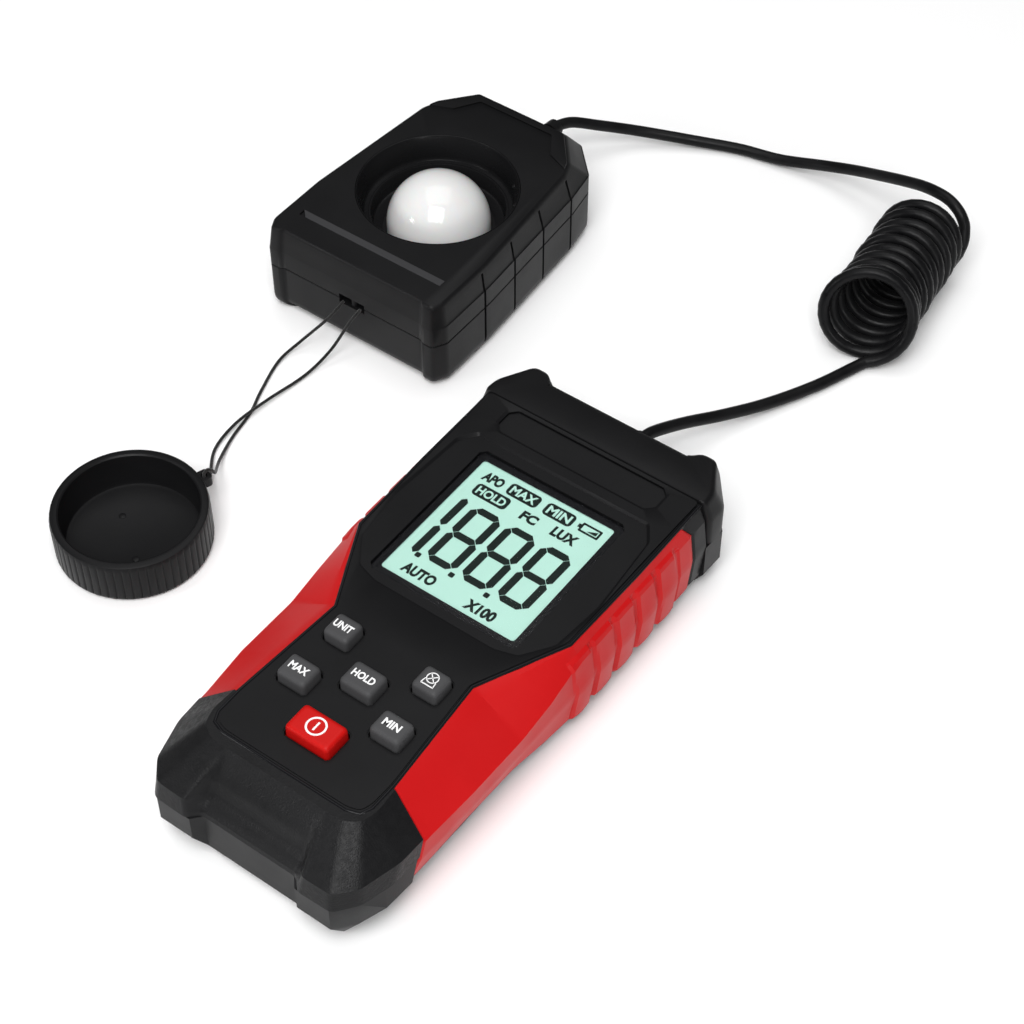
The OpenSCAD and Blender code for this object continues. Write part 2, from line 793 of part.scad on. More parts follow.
module photodiode() {
    color([0.1, 0.1, 0.2])
        translate([sensor_x, sensor_y, 8.6]) {
            cylinder(d = 9.2, h = 0.8);
            translate([0, 0, 0.8]) cylinder(d = 8.2, h = 2);
        }
}

module sensor_board() {
    color([0.05, 0.3, 0.14])
        translate([sensor_x, sensor_y, 7])
            translate([-18, -16, 0]) cube([36, 34, 1.6]);
}

module sensor_screws() {
    color([0.7, 0.7, 0.72])
        translate([sensor_x, 0, 0])
        for (p = head_screw_at)
            translate([p[0], p[1], 0.9]) {
                difference() {
                    cylinder(d = 4.8, h = 1.7);
                    translate([-1.5, -0.3, -1]) cube([3, 0.6, 2]);
                    translate([-0.3, -1.5, -1]) cube([0.6, 3, 2]);
                }
                translate([0, 0, 1.7]) cylinder(d = 2.2, h = 19);
            }
}

module sensor_gland() {
    color([0.05, 0.05, 0.05])
        translate([sensor_x, 0, relief_z]) rotate([-90, 0, 0])
        difference() {
            union() {
                translate([0, 0, 160.5]) cylinder(d = 9, h = 2);
                translate([0, 0, 162.5]) cylinder(d = 6.4, h = 4.5);
                translate([0, 0, 167]) cylinder(d1 = 7.4, d2 = 5.2, h = 11);
            }
            for (y = [169:2.4:176]) translate([0, 0, y])
                difference() {
                    cylinder(d = 9, h = 0.8);
                    translate([0, 0, -1]) cylinder(d = 4.8, h = 3);
                }
        }
}

// ---- cap ----

module sensor_cap() {
    color([0.05, 0.05, 0.055])
    translate([cap_x, cap_y, 0]) {
        rotate_extrude($fn = 96)
            polygon([
                [0, 0], [cap_r - 1, 0], [cap_r, 1], [cap_r, cap_h],
                [cap_r - cap_wall, cap_h], [cap_r - cap_wall, 2], [0, 2]
            ]);
        // lug with the hole for the string
        rotate([0, 0, 70])
        difference() {
            translate([cap_r - 0.6, -1.9, cap_h - 4]) cube([3.2, 3.8, 3]);
            translate([cap_r + 1, 0, cap_h - 5]) cylinder(d = 1.8, h = 5, $fn = 24);
        }
    }
}

// ---- cords ----

// Points of a smooth curve through the route, n steps between neighbours.
function bend(r, n) = [for (i = [0:len(r) - 2]) for (k = [0:n - 1])
    let(
        t = k / n,
        a = r[max(i - 1, 0)],
        b = r[i],
        c = r[i + 1],
        d = r[min(i + 2, len(r) - 1)]
    )
    0.5 * (2 * b + (c - a) * t + (2 * a - 5 * b + 4 * c - d) * t * t
        + (3 * b - a - 3 * c + d) * t * t * t)];

// Route with its last point closing it.
function path_of(r, n) = concat(bend(r, n), [r[len(r) - 1]]);

function unit(v) = v / norm(v);

// Plain tube swept along the route.
module tube_along(route, d, n, sides) {
    path = path_of(route, n);
    m = len(path);
    up = [0.05, 0.02, 1];
    pts = [for (i = [0:m - 1])
        let(
            t = unit(path[min(i + 1, m - 1)] - path[max(i - 1, 0)]),
            u = unit(cross(t, up)),
            v = cross(t, u)
        )
        for (j = [0:sides - 1])
            path[i] + d / 2 * (cos(360 * j / sides) * u + sin(360 * j / sides) * v)];
    walls = [for (i = [0:m - 2]) for (j = [0:sides - 1]) for (k = [0:1])
        let(
            a = i * sides + j,
            b = i * sides + (j + 1) % sides,
            c = a + sides,
            e = b + sides
        )
        k == 0 ? [a, b, c] : [b, e, c]];
    first = [for (j = [1:sides - 2]) [0, j + 1, j]];
    last = [for (j = [1:sides - 2])
        [(m - 1) * sides, (m - 1) * sides + j, (m - 1) * sides + j + 1]];
    polyhedron(points = pts, faces = concat(walls, first, last), convexity = 8);
}

module cable_meter_lead() {
    color([0.04, 0.04, 0.04]) tube_along(meter_route, cable_d, 2, 8);
}

module cable_coil() {
    v = coil_far - coil_near;
    color([0.04, 0.04, 0.04])
        translate(coil_near) rotate([0, 90, atan2(v[1], v[0])])
        difference() {
            cylinder(d = coil_d, h = norm(v));
            translate([0, 0, -1]) cylinder(d = coil_d - 2 * cable_d - 0.4, h = norm(v) + 2);
        }
}

module cable_sensor_lead() {
    color([0.04, 0.04, 0.04]) tube_along(sensor_route, cable_d, 2, 8);
}

module cap_lanyard() {
    color([0.03, 0.03, 0.03]) tube_along(lanyard_route, string_d, 2, 6);
}

front_case();
rear_case();
top_end_cap();
bottom_bumper();
left_grip();
right_grip();
name_plate();
lcd_window();
lcd_frame();
lcd_glass();
backlight();
zebra_strips();
main_board();
chips();
buzzer();
key_mat();
key_unit();
key_max();
key_hold();
key_lamp();
key_min();
key_power();
battery_door();
battery_cells();
battery_contacts();
case_screws();
tripod_insert();
meter_gland();
sensor_front_case();
sensor_rear_case();
accent_strip();
sensor_bezel();
sensor_dome();
colour_filter();
photodiode();
sensor_board();
sensor_screws();
sensor_gland();
sensor_cap();
cable_meter_lead();
cable_coil();
cable_sensor_lead();
cap_lanyard();
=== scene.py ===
"""Looks of the handheld light meter, its sensor head, cords and cap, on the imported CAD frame.

Tables below are in millimetres in the CAD frame; MM turns them into metres."""

from math import cos, floor, pi, radians, sin

import bmesh
import bpy
from mathutils import Matrix, Vector
from mathutils.geometry import delaunay_2d_cdt


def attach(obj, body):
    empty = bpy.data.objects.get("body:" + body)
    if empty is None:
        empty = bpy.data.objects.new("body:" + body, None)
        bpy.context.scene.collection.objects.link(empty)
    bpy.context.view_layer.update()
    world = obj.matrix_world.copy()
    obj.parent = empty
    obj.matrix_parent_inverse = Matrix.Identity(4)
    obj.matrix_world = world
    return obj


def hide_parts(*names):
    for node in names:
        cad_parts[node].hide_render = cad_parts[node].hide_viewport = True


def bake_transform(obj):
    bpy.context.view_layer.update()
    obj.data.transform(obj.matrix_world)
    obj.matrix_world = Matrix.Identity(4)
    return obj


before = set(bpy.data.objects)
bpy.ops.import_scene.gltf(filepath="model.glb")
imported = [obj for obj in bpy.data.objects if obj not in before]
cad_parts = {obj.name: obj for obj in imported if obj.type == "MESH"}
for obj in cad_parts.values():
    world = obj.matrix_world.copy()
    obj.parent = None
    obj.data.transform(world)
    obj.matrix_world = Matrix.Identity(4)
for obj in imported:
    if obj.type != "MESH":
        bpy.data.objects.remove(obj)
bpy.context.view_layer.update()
MM = 0.001
scene = bpy.context.scene

# Heights, places and widths of the CAD model.
FACE_Z = 30.5
PARTING_Z = 16.5
SEAM_Y = 62.5
SENSOR_X, SENSOR_Y = -93.5, 119.3
CAP_X, CAP_Y = -94.5, -13.0
CABLE_D = 3.4
STRING_D = 0.9


# ---- camera, floor and light

CAMERA_PLACE = (219.1, -272.8, 466.3)
CAMERA_AZIMUTH, CAMERA_ELEVATION = 36.137, 49.062
CAMERA_LENS = 80.86


def put_in_scene(name, data):
    thing = bpy.data.objects.new(name, data)
    scene.collection.objects.link(thing)
    return thing


def make_camera():
    azimuth, elevation = radians(CAMERA_AZIMUTH), radians(CAMERA_ELEVATION)
    back = Vector((sin(azimuth) * cos(elevation),
                   -cos(azimuth) * cos(elevation),
                   sin(elevation)))
    data = bpy.data.cameras.new("camera")
    data.lens = CAMERA_LENS
    data.sensor_width = 36
    data.clip_start, data.clip_end = 0.01, 50
    camera = put_in_scene("camera", data)
    camera.location = Vector(CAMERA_PLACE) * MM
    camera.rotation_mode = "QUATERNION"
    camera.rotation_quaternion = (-back).to_track_quat("-Z", "Y")
    scene.camera = camera


def area_light(name, place, target, size, power):
    data = bpy.data.lights.new(name, "AREA")
    data.shape = "RECTANGLE"
    data.size, data.size_y = size
    data.energy = power
    light = put_in_scene(name, data)
    light.location = place
    aim = Vector(target) - Vector(place)
    light.rotation_euler = aim.to_track_quat("-Z", "Y").to_euler()


def make_studio():
    ground = bpy.data.meshes.new("floor")
    ground.from_pydata([(-4, -4, 0), (4, -4, 0), (4, 4, 0), (-4, 4, 0)], [], [(0, 1, 2, 3)])
    sheet = put_in_scene("floor", ground)
    sheet.location.z = -0.0002
    paper, _ = new_material("floor_paper", (0.97, 0.97, 0.97), 0.9, specular=0.1)
    ground.materials.append(paper)
    world = bpy.data.worlds.new("studio")
    world.use_nodes = True
    set_inputs(world.node_tree.nodes["Background"], {"Color": (1, 1, 1, 1), "Strength": 0.11})
    scene.world = world
    scene.view_settings.view_transform = "Standard"
    middle = (-0.03, 0.05, 0)
    area_light("softbox_key", (0.28, -0.55, 1.1), middle, (0.8, 0.8), 15)
    area_light("softbox_top", (-0.25, 0.35, 1.5), middle, (1.3, 1.3), 10)
    area_light("softbox_left", (-0.62, -0.82, 0.36), middle, (0.2, 0.28), 2.2)
    area_light("softbox_right", (0.82, -0.5, 0.3), middle, (0.12, 0.28), 1.4)


# ---- materials

def set_inputs(node, values):
    for name, value in values.items():
        node.inputs[name].default_value = value


def new_material(name, colour, roughness, metallic=0.0, specular=0.12):
    material = bpy.data.materials.new(name)
    material.use_nodes = True
    shader = material.node_tree.nodes["Principled BSDF"]
    set_inputs(shader, {"Base Color": (*colour, 1), "Roughness": roughness, "Metallic": metallic,
                        "Specular IOR Level": specular})
    return material, shader


def add_node(shader, kind, **settings):
    """A new node in the shader's tree; each setting is an input or else a property."""
    node = shader.id_data.nodes.new("ShaderNode" + kind)
    for key, value in settings.items():
        if key in node.inputs:
            node.inputs[key].default_value = value
        else:
            setattr(node, key, value)
    return node


def link(shader, source, target):
    shader.id_data.links.new(source, target)


def texture_on(shader, kind, stretch=None, **settings):
    """A texture on the object's own coordinates, in metres; stretch scales each axis."""
    source = add_node(shader, "TexCoord").outputs["Object"]
    texture = add_node(shader, kind, **settings)
    if stretch:
        mapping = add_node(shader, "Mapping", Scale=stretch)
        link(shader, source, mapping.inputs["Vector"])
        source = mapping.outputs["Vector"]
    link(shader, source, texture.inputs["Vector"])
    return texture


def noise(shader, scale, detail=3.0, stretch=None):
    return texture_on(shader, "TexNoise", stretch, Scale=scale, Detail=detail).outputs["Fac"]


def ramp(shader, source, low, high, start=0.3, end=0.7):
    """Colour or value that goes from low to high as the source goes from start to end."""
    node = add_node(shader, "ValToRGB")
    stops = node.color_ramp.elements
    stops[0].position, stops[1].position = start, end
    stops[0].color = (*low, 1) if hasattr(low, "__len__") else (low, low, low, 1)
    stops[1].color = (*high, 1) if hasattr(high, "__len__") else (high, high, high, 1)
    link(shader, source, node.inputs["Fac"])
    return node.outputs["Color"]


def vary(shader, name, source, low, high):
    """Lets one input of the shader go from low to high as the source does."""
    link(shader, ramp(shader, source, low, high), shader.inputs[name])


def add_bump(shader, height, strength, distance, normal=None):
    node = add_node(shader, "Bump", Strength=strength, Distance=distance)
    link(shader, height, node.inputs["Height"])
    if normal is not None:
        link(shader, normal, node.inputs["Normal"])
    link(shader, node.outputs["Normal"], shader.inputs["Normal"])
    return node.outputs["Normal"]


def moulded_plastic(name, colour, roughness, grain=2600, depth=0.00004, spread=0.06, wear=1.12):
    """Plastic or rubber with a fine moulded grain, and slight changes in shade and gloss."""
    material, shader = new_material(name, colour, roughness)
    worn = tuple(min(1.0, c * wear + 0.0015) for c in colour)
    vary(shader, "Base Color", noise(shader, 35, 4), colour, worn)
    vary(shader, "Roughness", noise(shader, 60, 5), roughness - spread, roughness + spread)
    add_bump(shader, noise(shader, grain, 2), 0.35, depth)
    return material


def pebbled_rubber(name, colour, roughness, cells, depth):
    """Leather-like pebbled mould texture."""
    material, shader = new_material(name, colour, roughness)
    pebbles = texture_on(shader, "TexVoronoi", Scale=cells)
    first = add_bump(shader, noise(shader, cells * 1.6, 2), 0.3, depth)
    add_bump(shader, pebbles.outputs["Distance"], 0.5, -depth, first)
    worn = tuple(c * 1.35 + 0.002 for c in colour)
    vary(shader, "Base Color", noise(shader, 40, 4), colour, worn)
    vary(shader, "Roughness", noise(shader, 900, 3), roughness - 0.1, roughness + 0.1)
    return material


def metal(name, colour, roughness, scratch=(1, 1, 1)):
    material, shader = new_material(name, colour, roughness, metallic=1.0)
    lines = noise(shader, 900, 3, scratch)
    vary(shader, "Roughness", lines, roughness - 0.08, roughness + 0.12)
    shade = tuple(c * 0.82 for c in colour)
    vary(shader, "Base Color", noise(shader, 120, 3), shade, colour)
    add_bump(shader, lines, 0.2, 0.00002)
    return material


def glossy(name, colour, roughness, coat=0.0, subsurface=0.0):
    material, shader = new_material(name, colour, roughness)
    set_inputs(shader, {"Coat Weight": coat, "Coat Roughness": 0.06, "Subsurface Weight": subsurface,
                        "Subsurface Scale": 0.003})
    shade = tuple(c * 0.96 for c in colour)
    vary(shader, "Base Color", noise(shader, 50, 3), shade, colour)
    add_bump(shader, noise(shader, 1500, 2), 0.08, 0.00001)
    return material


def lcd_reflector():
    """Pale green display backing with a faint sparkle and a slow change in shade."""
    material, shader = new_material("lcd_reflector", (0.44, 0.72, 0.62), 0.35)
    vary(shader, "Base Color", noise(shader, 12, 2), (0.39, 0.64, 0.55), (0.45, 0.71, 0.62))
    add_bump(shader, noise(shader, 5000, 2), 0.1, 0.00001)
    return material


def clear_acrylic():
    material, shader = new_material("clear_acrylic", (0.97, 1.0, 0.99), 0.06)
    set_inputs(shader, {"IOR": 1.2, "Transmission Weight": 1.0, "Alpha": 0.06})
    add_bump(shader, noise(shader, 25, 2), 0.03, 0.00002)
    return material


def cord_sheath(name, roughness, ribs=0.0):
    """Black cable sheath, faintly mottled; ribs adds the fine waviness of a coiled cord."""
    material, shader = new_material(name, (0.008, 0.008, 0.009), roughness)
    dark, pale = (0.004, 0.004, 0.0045), (0.009, 0.009, 0.0095)
    vary(shader, "Base Color", noise(shader, 90, 4), dark, pale)
    vary(shader, "Roughness", noise(shader, 400, 4), roughness - 0.08, roughness + 0.1)
    add_bump(shader, noise(shader, 1200, 3), 0.3 + ribs, 0.00005)
    return material


def braided_string():
    material, shader = new_material("braided_string", (0.01, 0.01, 0.01), 0.8)
    set_inputs(shader, {"Sheen Weight": 0.25})
    weave = texture_on(shader, "TexVoronoi", Scale=3200.0)
    add_bump(shader, weave.outputs["Distance"], 0.8, 0.00012)
    vary(shader, "Base Color", noise(shader, 700, 3), (0.006, 0.006, 0.006), (0.02, 0.02, 0.02))
    return material


def circuit_board():
    material, shader = new_material("circuit_board", (0.02, 0.14, 0.05), 0.35)
    tracks = texture_on(shader, "TexBrick", Scale=140.0)
    set_inputs(tracks, {"Color1": (0.015, 0.12, 0.04, 1), "Color2": (0.02, 0.16, 0.06, 1),
                        "Mortar": (0.05, 0.28, 0.1, 1), "Mortar Size": 0.012})
    link(shader, tracks.outputs["Color"], shader.inputs["Base Color"])
    add_bump(shader, noise(shader, 800, 2), 0.2, 0.00003)
    return material


SHELL = moulded_plastic("black_shell", (0.0065, 0.0065, 0.007), 0.40, grain=2400, depth=0.00005)
FACE = moulded_plastic("black_face", (0.005, 0.005, 0.0055), 0.36, grain=3200, depth=0.00003, spread=0.04)
GLOSS_RIM = moulded_plastic("black_rim", (0.006, 0.006, 0.007), 0.16, grain=1500, depth=0.00001, spread=0.04)
BEZEL = moulded_plastic("black_bezel", (0.006, 0.006, 0.0065), 0.27, grain=1800, depth=0.00002)
STRIP = moulded_plastic("strip_grey", (0.035, 0.035, 0.037), 0.5, grain=3000, depth=0.00004)
PEBBLE = pebbled_rubber("soft_black", (0.007, 0.007, 0.0075), 0.38, 2300, 0.00009)
RED = moulded_plastic("red_grip", (0.46, 0.007, 0.008), 0.38, grain=1600, depth=0.00003, wear=1.06)
GREY_KEY = moulded_plastic("grey_key", (0.055, 0.055, 0.057), 0.48, grain=3000, depth=0.00005)
RED_KEY = moulded_plastic("red_key", (0.46, 0.005, 0.004), 0.4, grain=3000, depth=0.00004, wear=1.08)
LEGEND = moulded_plastic("white_legend", (0.82, 0.82, 0.82), 0.5, grain=4000, depth=0.00001, wear=1.02)
WINDOW = clear_acrylic()
REFLECTOR = lcd_reflector()
SEGMENT = glossy("lcd_segment", (0.008, 0.014, 0.012), 0.4)
OPAL = glossy("white_acrylic", (0.75, 0.75, 0.745), 0.12, coat=0.6, subsurface=0.15)
LIGHT_GUIDE = glossy("light_guide", (0.85, 0.88, 0.85), 0.2)
PCB = circuit_board()
CHIP = moulded_plastic("component_black", (0.015, 0.015, 0.015), 0.45, grain=4000)
STEEL = metal("steel", (0.62, 0.62, 0.64), 0.28, (1, 1, 12))
BRASS = metal("brass", (0.72, 0.5, 0.18), 0.3, (1, 1, 20))
CELL = moulded_plastic("cell_wrap", (0.05, 0.12, 0.3), 0.22, grain=900, depth=0.00001)
SILICONE = moulded_plastic("silicone", (0.3, 0.3, 0.31), 0.65, grain=2000)
FILTER = glossy("colour_filter", (0.1, 0.24, 0.13), 0.1)
CORD = cord_sheath("cord_sheath", 0.36)
COIL = cord_sheath("coil_sheath", 0.32, ribs=0.2)
STRING = braided_string()


# ---- mesh helpers

def add_piece(name, points, faces, material, body, slot):
    """A mesh from points in millimetres that rides on a body and takes the material given; the slot is not
    used.
    """
    mesh = bpy.data.meshes.new(name)
    mesh.from_pydata([Vector(p) * MM for p in points], [], faces)
    build = bmesh.new()
    build.from_mesh(mesh)
    bmesh.ops.remove_doubles(build, verts=build.verts, dist=1e-7)
    bmesh.ops.recalc_face_normals(build, faces=build.faces)
    build.to_mesh(mesh)
    build.free()
    mesh.update()
    piece = put_in_scene(name, mesh)
    mesh.materials.append(material)
    if body:
        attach(piece, body)
    return piece


def smooth(piece, angle=32):
    """Smooth shading, kept sharp at edges steeper than the angle."""
    mesh = piece.data
    mesh.polygons.foreach_set("use_smooth", [True] * len(mesh.polygons))
    mesh.set_sharp_from_angle(angle=radians(angle))
    return piece


def soften(piece, width, angle=28, segments=3):
    """Rounds every edge steeper than the angle, with the width in millimetres."""
    mesh = piece.data
    mesh.polygons.foreach_set("use_smooth", [True] * len(mesh.polygons))
    bevel = piece.modifiers.new("edges", "BEVEL")
    bevel.width = width * MM
    bevel.segments = segments
    bevel.limit_method = "ANGLE"
    bevel.angle_limit = radians(angle)
    bevel.use_clamp_overlap = True
    bevel.harden_normals = True
    return piece


def loft(rings, capped=True):
    """Points and faces of a closed skin through rings of equal length."""
    count = len(rings[0])
    points = [p for ring in rings for p in ring]
    faces = []
    for i in range(len(rings) - 1):
        for j in range(count):
            k = (j + 1) % count
            faces.append((i * count + j, i * count + k, (i + 1) * count + k, (i + 1) * count + j))
    if capped:
        faces.append(tuple(reversed(range(count))))
        faces.append(tuple((len(rings) - 1) * count + j for j in range(count)))
    return points, faces


def prism(outline, low, high):
    """Points and faces of an upright prism over a plan outline."""
    return loft([[(x, y, z) for x, y in outline] for z in (low, high)])


def mirrored(half):
    """A whole outline from its right half, listed from one end of the middle line to the other."""
    return list(half) + [(-x, y) for x, y in reversed(half) if abs(x) > 1e-6]


def bake(piece):
    """Applies a piece's modifiers to its mesh."""
    graph = bpy.context.evaluated_depsgraph_get()
    graph.update()
    mesh = bpy.data.meshes.new_from_object(piece.evaluated_get(graph))
    piece.modifiers.clear()
    old = piece.data
    piece.data = mesh
    bpy.data.meshes.remove(old)
    return piece


def carve(piece, shapes):
    """Cuts shapes, each (points, faces) in millimetres, out of a piece for good."""
    cutters = []
    for number, (points, faces) in enumerate(shapes):
        cutter = add_piece(f"{piece.name}_tool_{number}", points, faces, piece.data.materials[0], None, None)
        change = piece.modifiers.new("cut", "BOOLEAN")
        change.operation = "DIFFERENCE"
        change.solver = "EXACT"
        change.object = cutter
        cutters.append(cutter)
    bake(piece)
    for cutter in cutters:
        bpy.data.objects.remove(cutter)
    return piece


def on_circle(angle, radius, centre=(0, 0)):
    return centre[0] + radius * cos(angle), centre[1] + radius * sin(angle)


def ring_points(radius, z, segments=96, centre=(0, 0), wave=None):
    """A circle of points; wave gives the change in radius at each angle."""
    out = []
    for k in range(segments):
        angle = 2 * pi * k / segments
        out.append((*on_circle(angle, radius + (wave(angle) if wave else 0), centre), z))
    return out


def lathe(profile, centre, segments=96, wave=None, capped=True):
    """Points and faces turned round an upright axis; rows are (radius, z), with any waviness third."""
    rings = []
    for radius, z, share in [(*row, 0)[:3] for row in profile]:
        ripple = (lambda a, s=share: s * wave(a)) if wave else None
        rings.append(ring_points(radius, z, segments, centre, ripple))
    return loft(rings, capped)


def inside(point, outline):
    """True where a plan point lies inside an outline."""
    x, y = point
    found = False
    for (ax, ay), (bx, by) in zip(outline, outline[1:] + outline[:1]):
        if (ay > y) != (by > y) and x < (bx - ax) * (y - ay) / (by - ay) + ax:
            found = not found
    return found


def triangles_in(outline, holes=(), points=(), creases=()):
    """Plan points and triangles that fill an outline, less its holes, through the given creases."""
    plan, edges = [], []
    for loop in [outline, *holes]:
        start = len(plan)
        plan += loop
        edges += [(start + i, start + (i + 1) % len(loop)) for i in range(len(loop))]
    for line in creases:
        start = len(plan)
        plan += line
        edges += [(start + i, start + i + 1) for i in range(len(line) - 1)]
    plan += points
    found, _, faces, *_ = delaunay_2d_cdt([Vector(p) for p in plan], edges, [], 0, 1e-5)
    kept = []
    for face in faces:
        middle = sum((found[i] for i in face), Vector((0, 0))) / len(face)
        if inside(middle, list(outline)) and not any(inside(middle, list(h)) for h in holes):
            kept.append(tuple(face))
    return [tuple(v) for v in found], kept


def sheet_solid(outline, holes, top_of, bottom, creases=(), points=()):
    """A solid over a plan outline with holes; top_of(x, y) gives its upper surface."""
    plan, triangles = triangles_in(outline, holes, points, creases)
    count = len(plan)
    solid = [(x, y, top_of(x, y)) for x, y in plan] + [(x, y, bottom) for x, y in plan]
    faces = list(triangles) + [tuple(count + i for i in reversed(t)) for t in triangles]
    used = {}
    for t in triangles:
        for a, b in zip(t, t[1:] + t[:1]):
            used[(a, b)] = True
    for a, b in used:
        if (b, a) not in used:
            faces.append((a, a + count, b + count, b))
    return solid, faces


def catmull(route, steps):
    """Points of a smooth curve through a route."""
    out = []
    last = len(route) - 1
    for i in range(last):
        a, b = Vector(route[max(i - 1, 0)]), Vector(route[i])
        c, d = Vector(route[i + 1]), Vector(route[min(i + 2, last)])
        for k in range(steps):
            t = k / steps
            out.append(0.5 * (2 * b + (c - a) * t + (2 * a - 5 * b + 4 * c - d) * t * t
                              + (3 * b - a - 3 * c + d) * t ** 3))
    out.append(Vector(route[last]))
    return out


def length_of(points):
    return sum((b - a).length for a, b in zip(points, points[1:]))


def tube(path, radius, sides=20):
    """Points and faces of a round tube along a path, with no twist."""
    rings = []
    tangent = (path[1] - path[0]).normalized()
    side = tangent.orthogonal().normalized()
    for i, point in enumerate(path):
        ahead = path[min(i + 1, len(path) - 1)] - path[max(i - 1, 0)]
        turned = ahead.normalized()
        side = (tangent.rotation_difference(turned) @ side).normalized()
        tangent = turned
        side = (side - side.dot(tangent) * tangent).normalized()
        up = tangent.cross(side)
        rings.append([tuple(point + radius * (cos(2 * pi * j / sides) * side
                                              + sin(2 * pi * j / sides) * up))
                      for j in range(sides)])
    return loft(rings)


# ---- cords

METER_ROUTE = [(0, 87, 12.5), (0.6, 91, 12), (4, 101, 9), (9.5, 113, 5.4), (16, 126, 3),
               (23, 141, 2), (28.4, 158.1, 2)]
SENSOR_ROUTE = [(31.8, 204.9, 12.4), (30.9, 207.3, 16.6), (29.2, 208.1, 19.4), (26.5, 209, 21.2),
                (23.1, 210.1, 21.9), (18.6, 211.2, 21.6), (13.2, 212.8, 20), (6.9, 214.5, 17.4),
                (1.2, 215.9, 14.9), (-10.7, 218.6, 9.6), (-21.9, 219.1, 5.6), (-36.2, 216.9, 2.4),
                (-49, 214.4, 1.9), (-61, 209.4, 2.4), (-77, 200, 5), (-86, 190.8, 9),
                (-91.4, 183.6, 12.4), (-93.5, 178, 13.5)]
LANYARD_ROUTE = [(-96.6, 79, 15), (-98.5, 74, 11), (-104.5, 68, 3), (-106, 60, 0.8), (-102.5, 48, 0.6),
                 (-99.5, 40, 0.6), (-97.5, 30, 0.6), (-94, 21, 2), (-89.8, 15, 5.5),
                 (-86.4, 11.2, 10.2), (-86.1, 9.9, 12.6), (-86.5, 8.7, 13.4), (-86.9, 7.8, 12.4),
                 (-86.9, 7.8, 10.5), (-86.9, 7.8, 8.7), (-87.4, 9.2, 6.9), (-88.8, 11.5, 4.5),
                 (-93, 16, 2), (-98.5, 24, 0.7), (-99.5, 34, 1.6), (-98.2, 46, 1.6), (-96.4, 60, 0.8),
                 (-95, 70, 3.5), (-92.5, 76, 11), (-90.6, 79, 15)]
COIL_NEAR, COIL_FAR = Vector((25.2, 160.1, 0)), Vector((21, 202.3, 0))
TURNS = 10.24
START_ANGLE = -80.0
STEPS_PER_TURN = 28
TURN_RADIUS = 11.3
TURN_LEAN, TURN_DIP = 15, 13
# The first turns are wider by this much, over this many turns.
FIRST_WIDER, FIRST_TURNS = 2.2, 3.2
FLOOR_GAP = 0.15


def coil_point(turn):
    """A point of the curly cable's centre line: its turns lean back, and the first ones lean most."""
    share = turn / TURNS
    first = max(0.0, 1 - turn / FIRST_TURNS)
    radius = TURN_RADIUS + FIRST_WIDER * first ** 2 + 0.1 * sin(2.3 * turn)
    lean = radians(TURN_LEAN + 8 * first + 1.5 * sin(1.7 * turn + 0.6))
    dip = -radians(TURN_DIP + 6 * (1 - share) + 2 * first)
    centre = COIL_NEAR.lerp(COIL_FAR, share - 0.02 * sin(pi * share))
    centre.x += 0.25 * sin(1.9 * turn)
    centre.z = radius * cos(dip) + 0.5 * CABLE_D + FLOOR_GAP
    axis = Vector((-sin(lean) * cos(dip), cos(lean) * cos(dip), sin(dip)))
    across = axis.cross(Vector((0, 0, 1))).normalized()
    up = across.cross(axis)
    angle = radians(START_ANGLE) + 2 * pi * turn
    return centre + radius * (cos(angle) * across + sin(angle) * up)


def make_cords():
    """The cable in three stretches, and the lanyard, each made as a tube along its path."""
    helix = [coil_point(k / STEPS_PER_TURN) for k in range(int(TURNS * STEPS_PER_TURN) + 1)]
    meter_path = catmull(METER_ROUTE[:-1] + [helix[0], helix[3]], 8)[:-8]
    lead = add_piece("cable_to_meter", *tube(meter_path, CABLE_D / 2), CORD, "meter", "cord")
    smooth(lead, 50)
    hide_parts("cable_meter_lead")
    length_of(meter_path) * MM

    coil = add_piece("cable_curl", *tube(helix, CABLE_D / 2), COIL, None, None)
    smooth(coil, 50)
    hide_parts("cable_coil")
    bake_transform(coil)
    length_of(helix) * MM

    sensor_path = catmull([helix[-4], helix[-1]] + SENSOR_ROUTE[1:], 8)[8:]
    head_lead = add_piece("cable_to_sensor", *tube(sensor_path, CABLE_D / 2), CORD, "sensor_head", "cord")
    smooth(head_lead, 50)
    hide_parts("cable_sensor_lead")
    length_of(sensor_path) * MM

    string_path = catmull(LANYARD_ROUTE, 6)
    string = add_piece("lanyard", *tube(string_path, STRING_D / 2, 10), STRING, None, None)
    smooth(string, 60)
    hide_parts("cap_lanyard")
    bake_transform(string)
    length_of(string_path) * MM


# ---- small solids

def join(solids):
    """One list of points and faces from many."""
    points, faces = [], []
    for more_points, more_faces in solids:
        start = len(points)
        points += more_points
        faces += [tuple(start + i for i in face) for face in more_faces]
    return points, faces


def placed(solid, centre=(0, 0, 0), turn=0.0):
    """A solid turned about the upright axis by an angle in degrees, then moved."""
    points, faces = solid
    spin = Matrix.Rotation(radians(turn), 3, "Z")
    return [tuple(spin @ Vector(p) + Vector(centre)) for p in points], faces


def rounded(x0, y0, x1, y1, radius, steps=5):
    """Plan outline of a rectangle with round corners."""
    out = []
    corners = ((x1 - radius, y0 + radius, -90), (x1 - radius, y1 - radius, 0),
               (x0 + radius, y1 - radius, 90), (x0 + radius, y0 + radius, 180))
    for cx, cy, start in corners:
        for k in range(steps + 1):
            out.append(on_circle(radians(start + 90 * k / steps), radius, (cx, cy)))
    return out


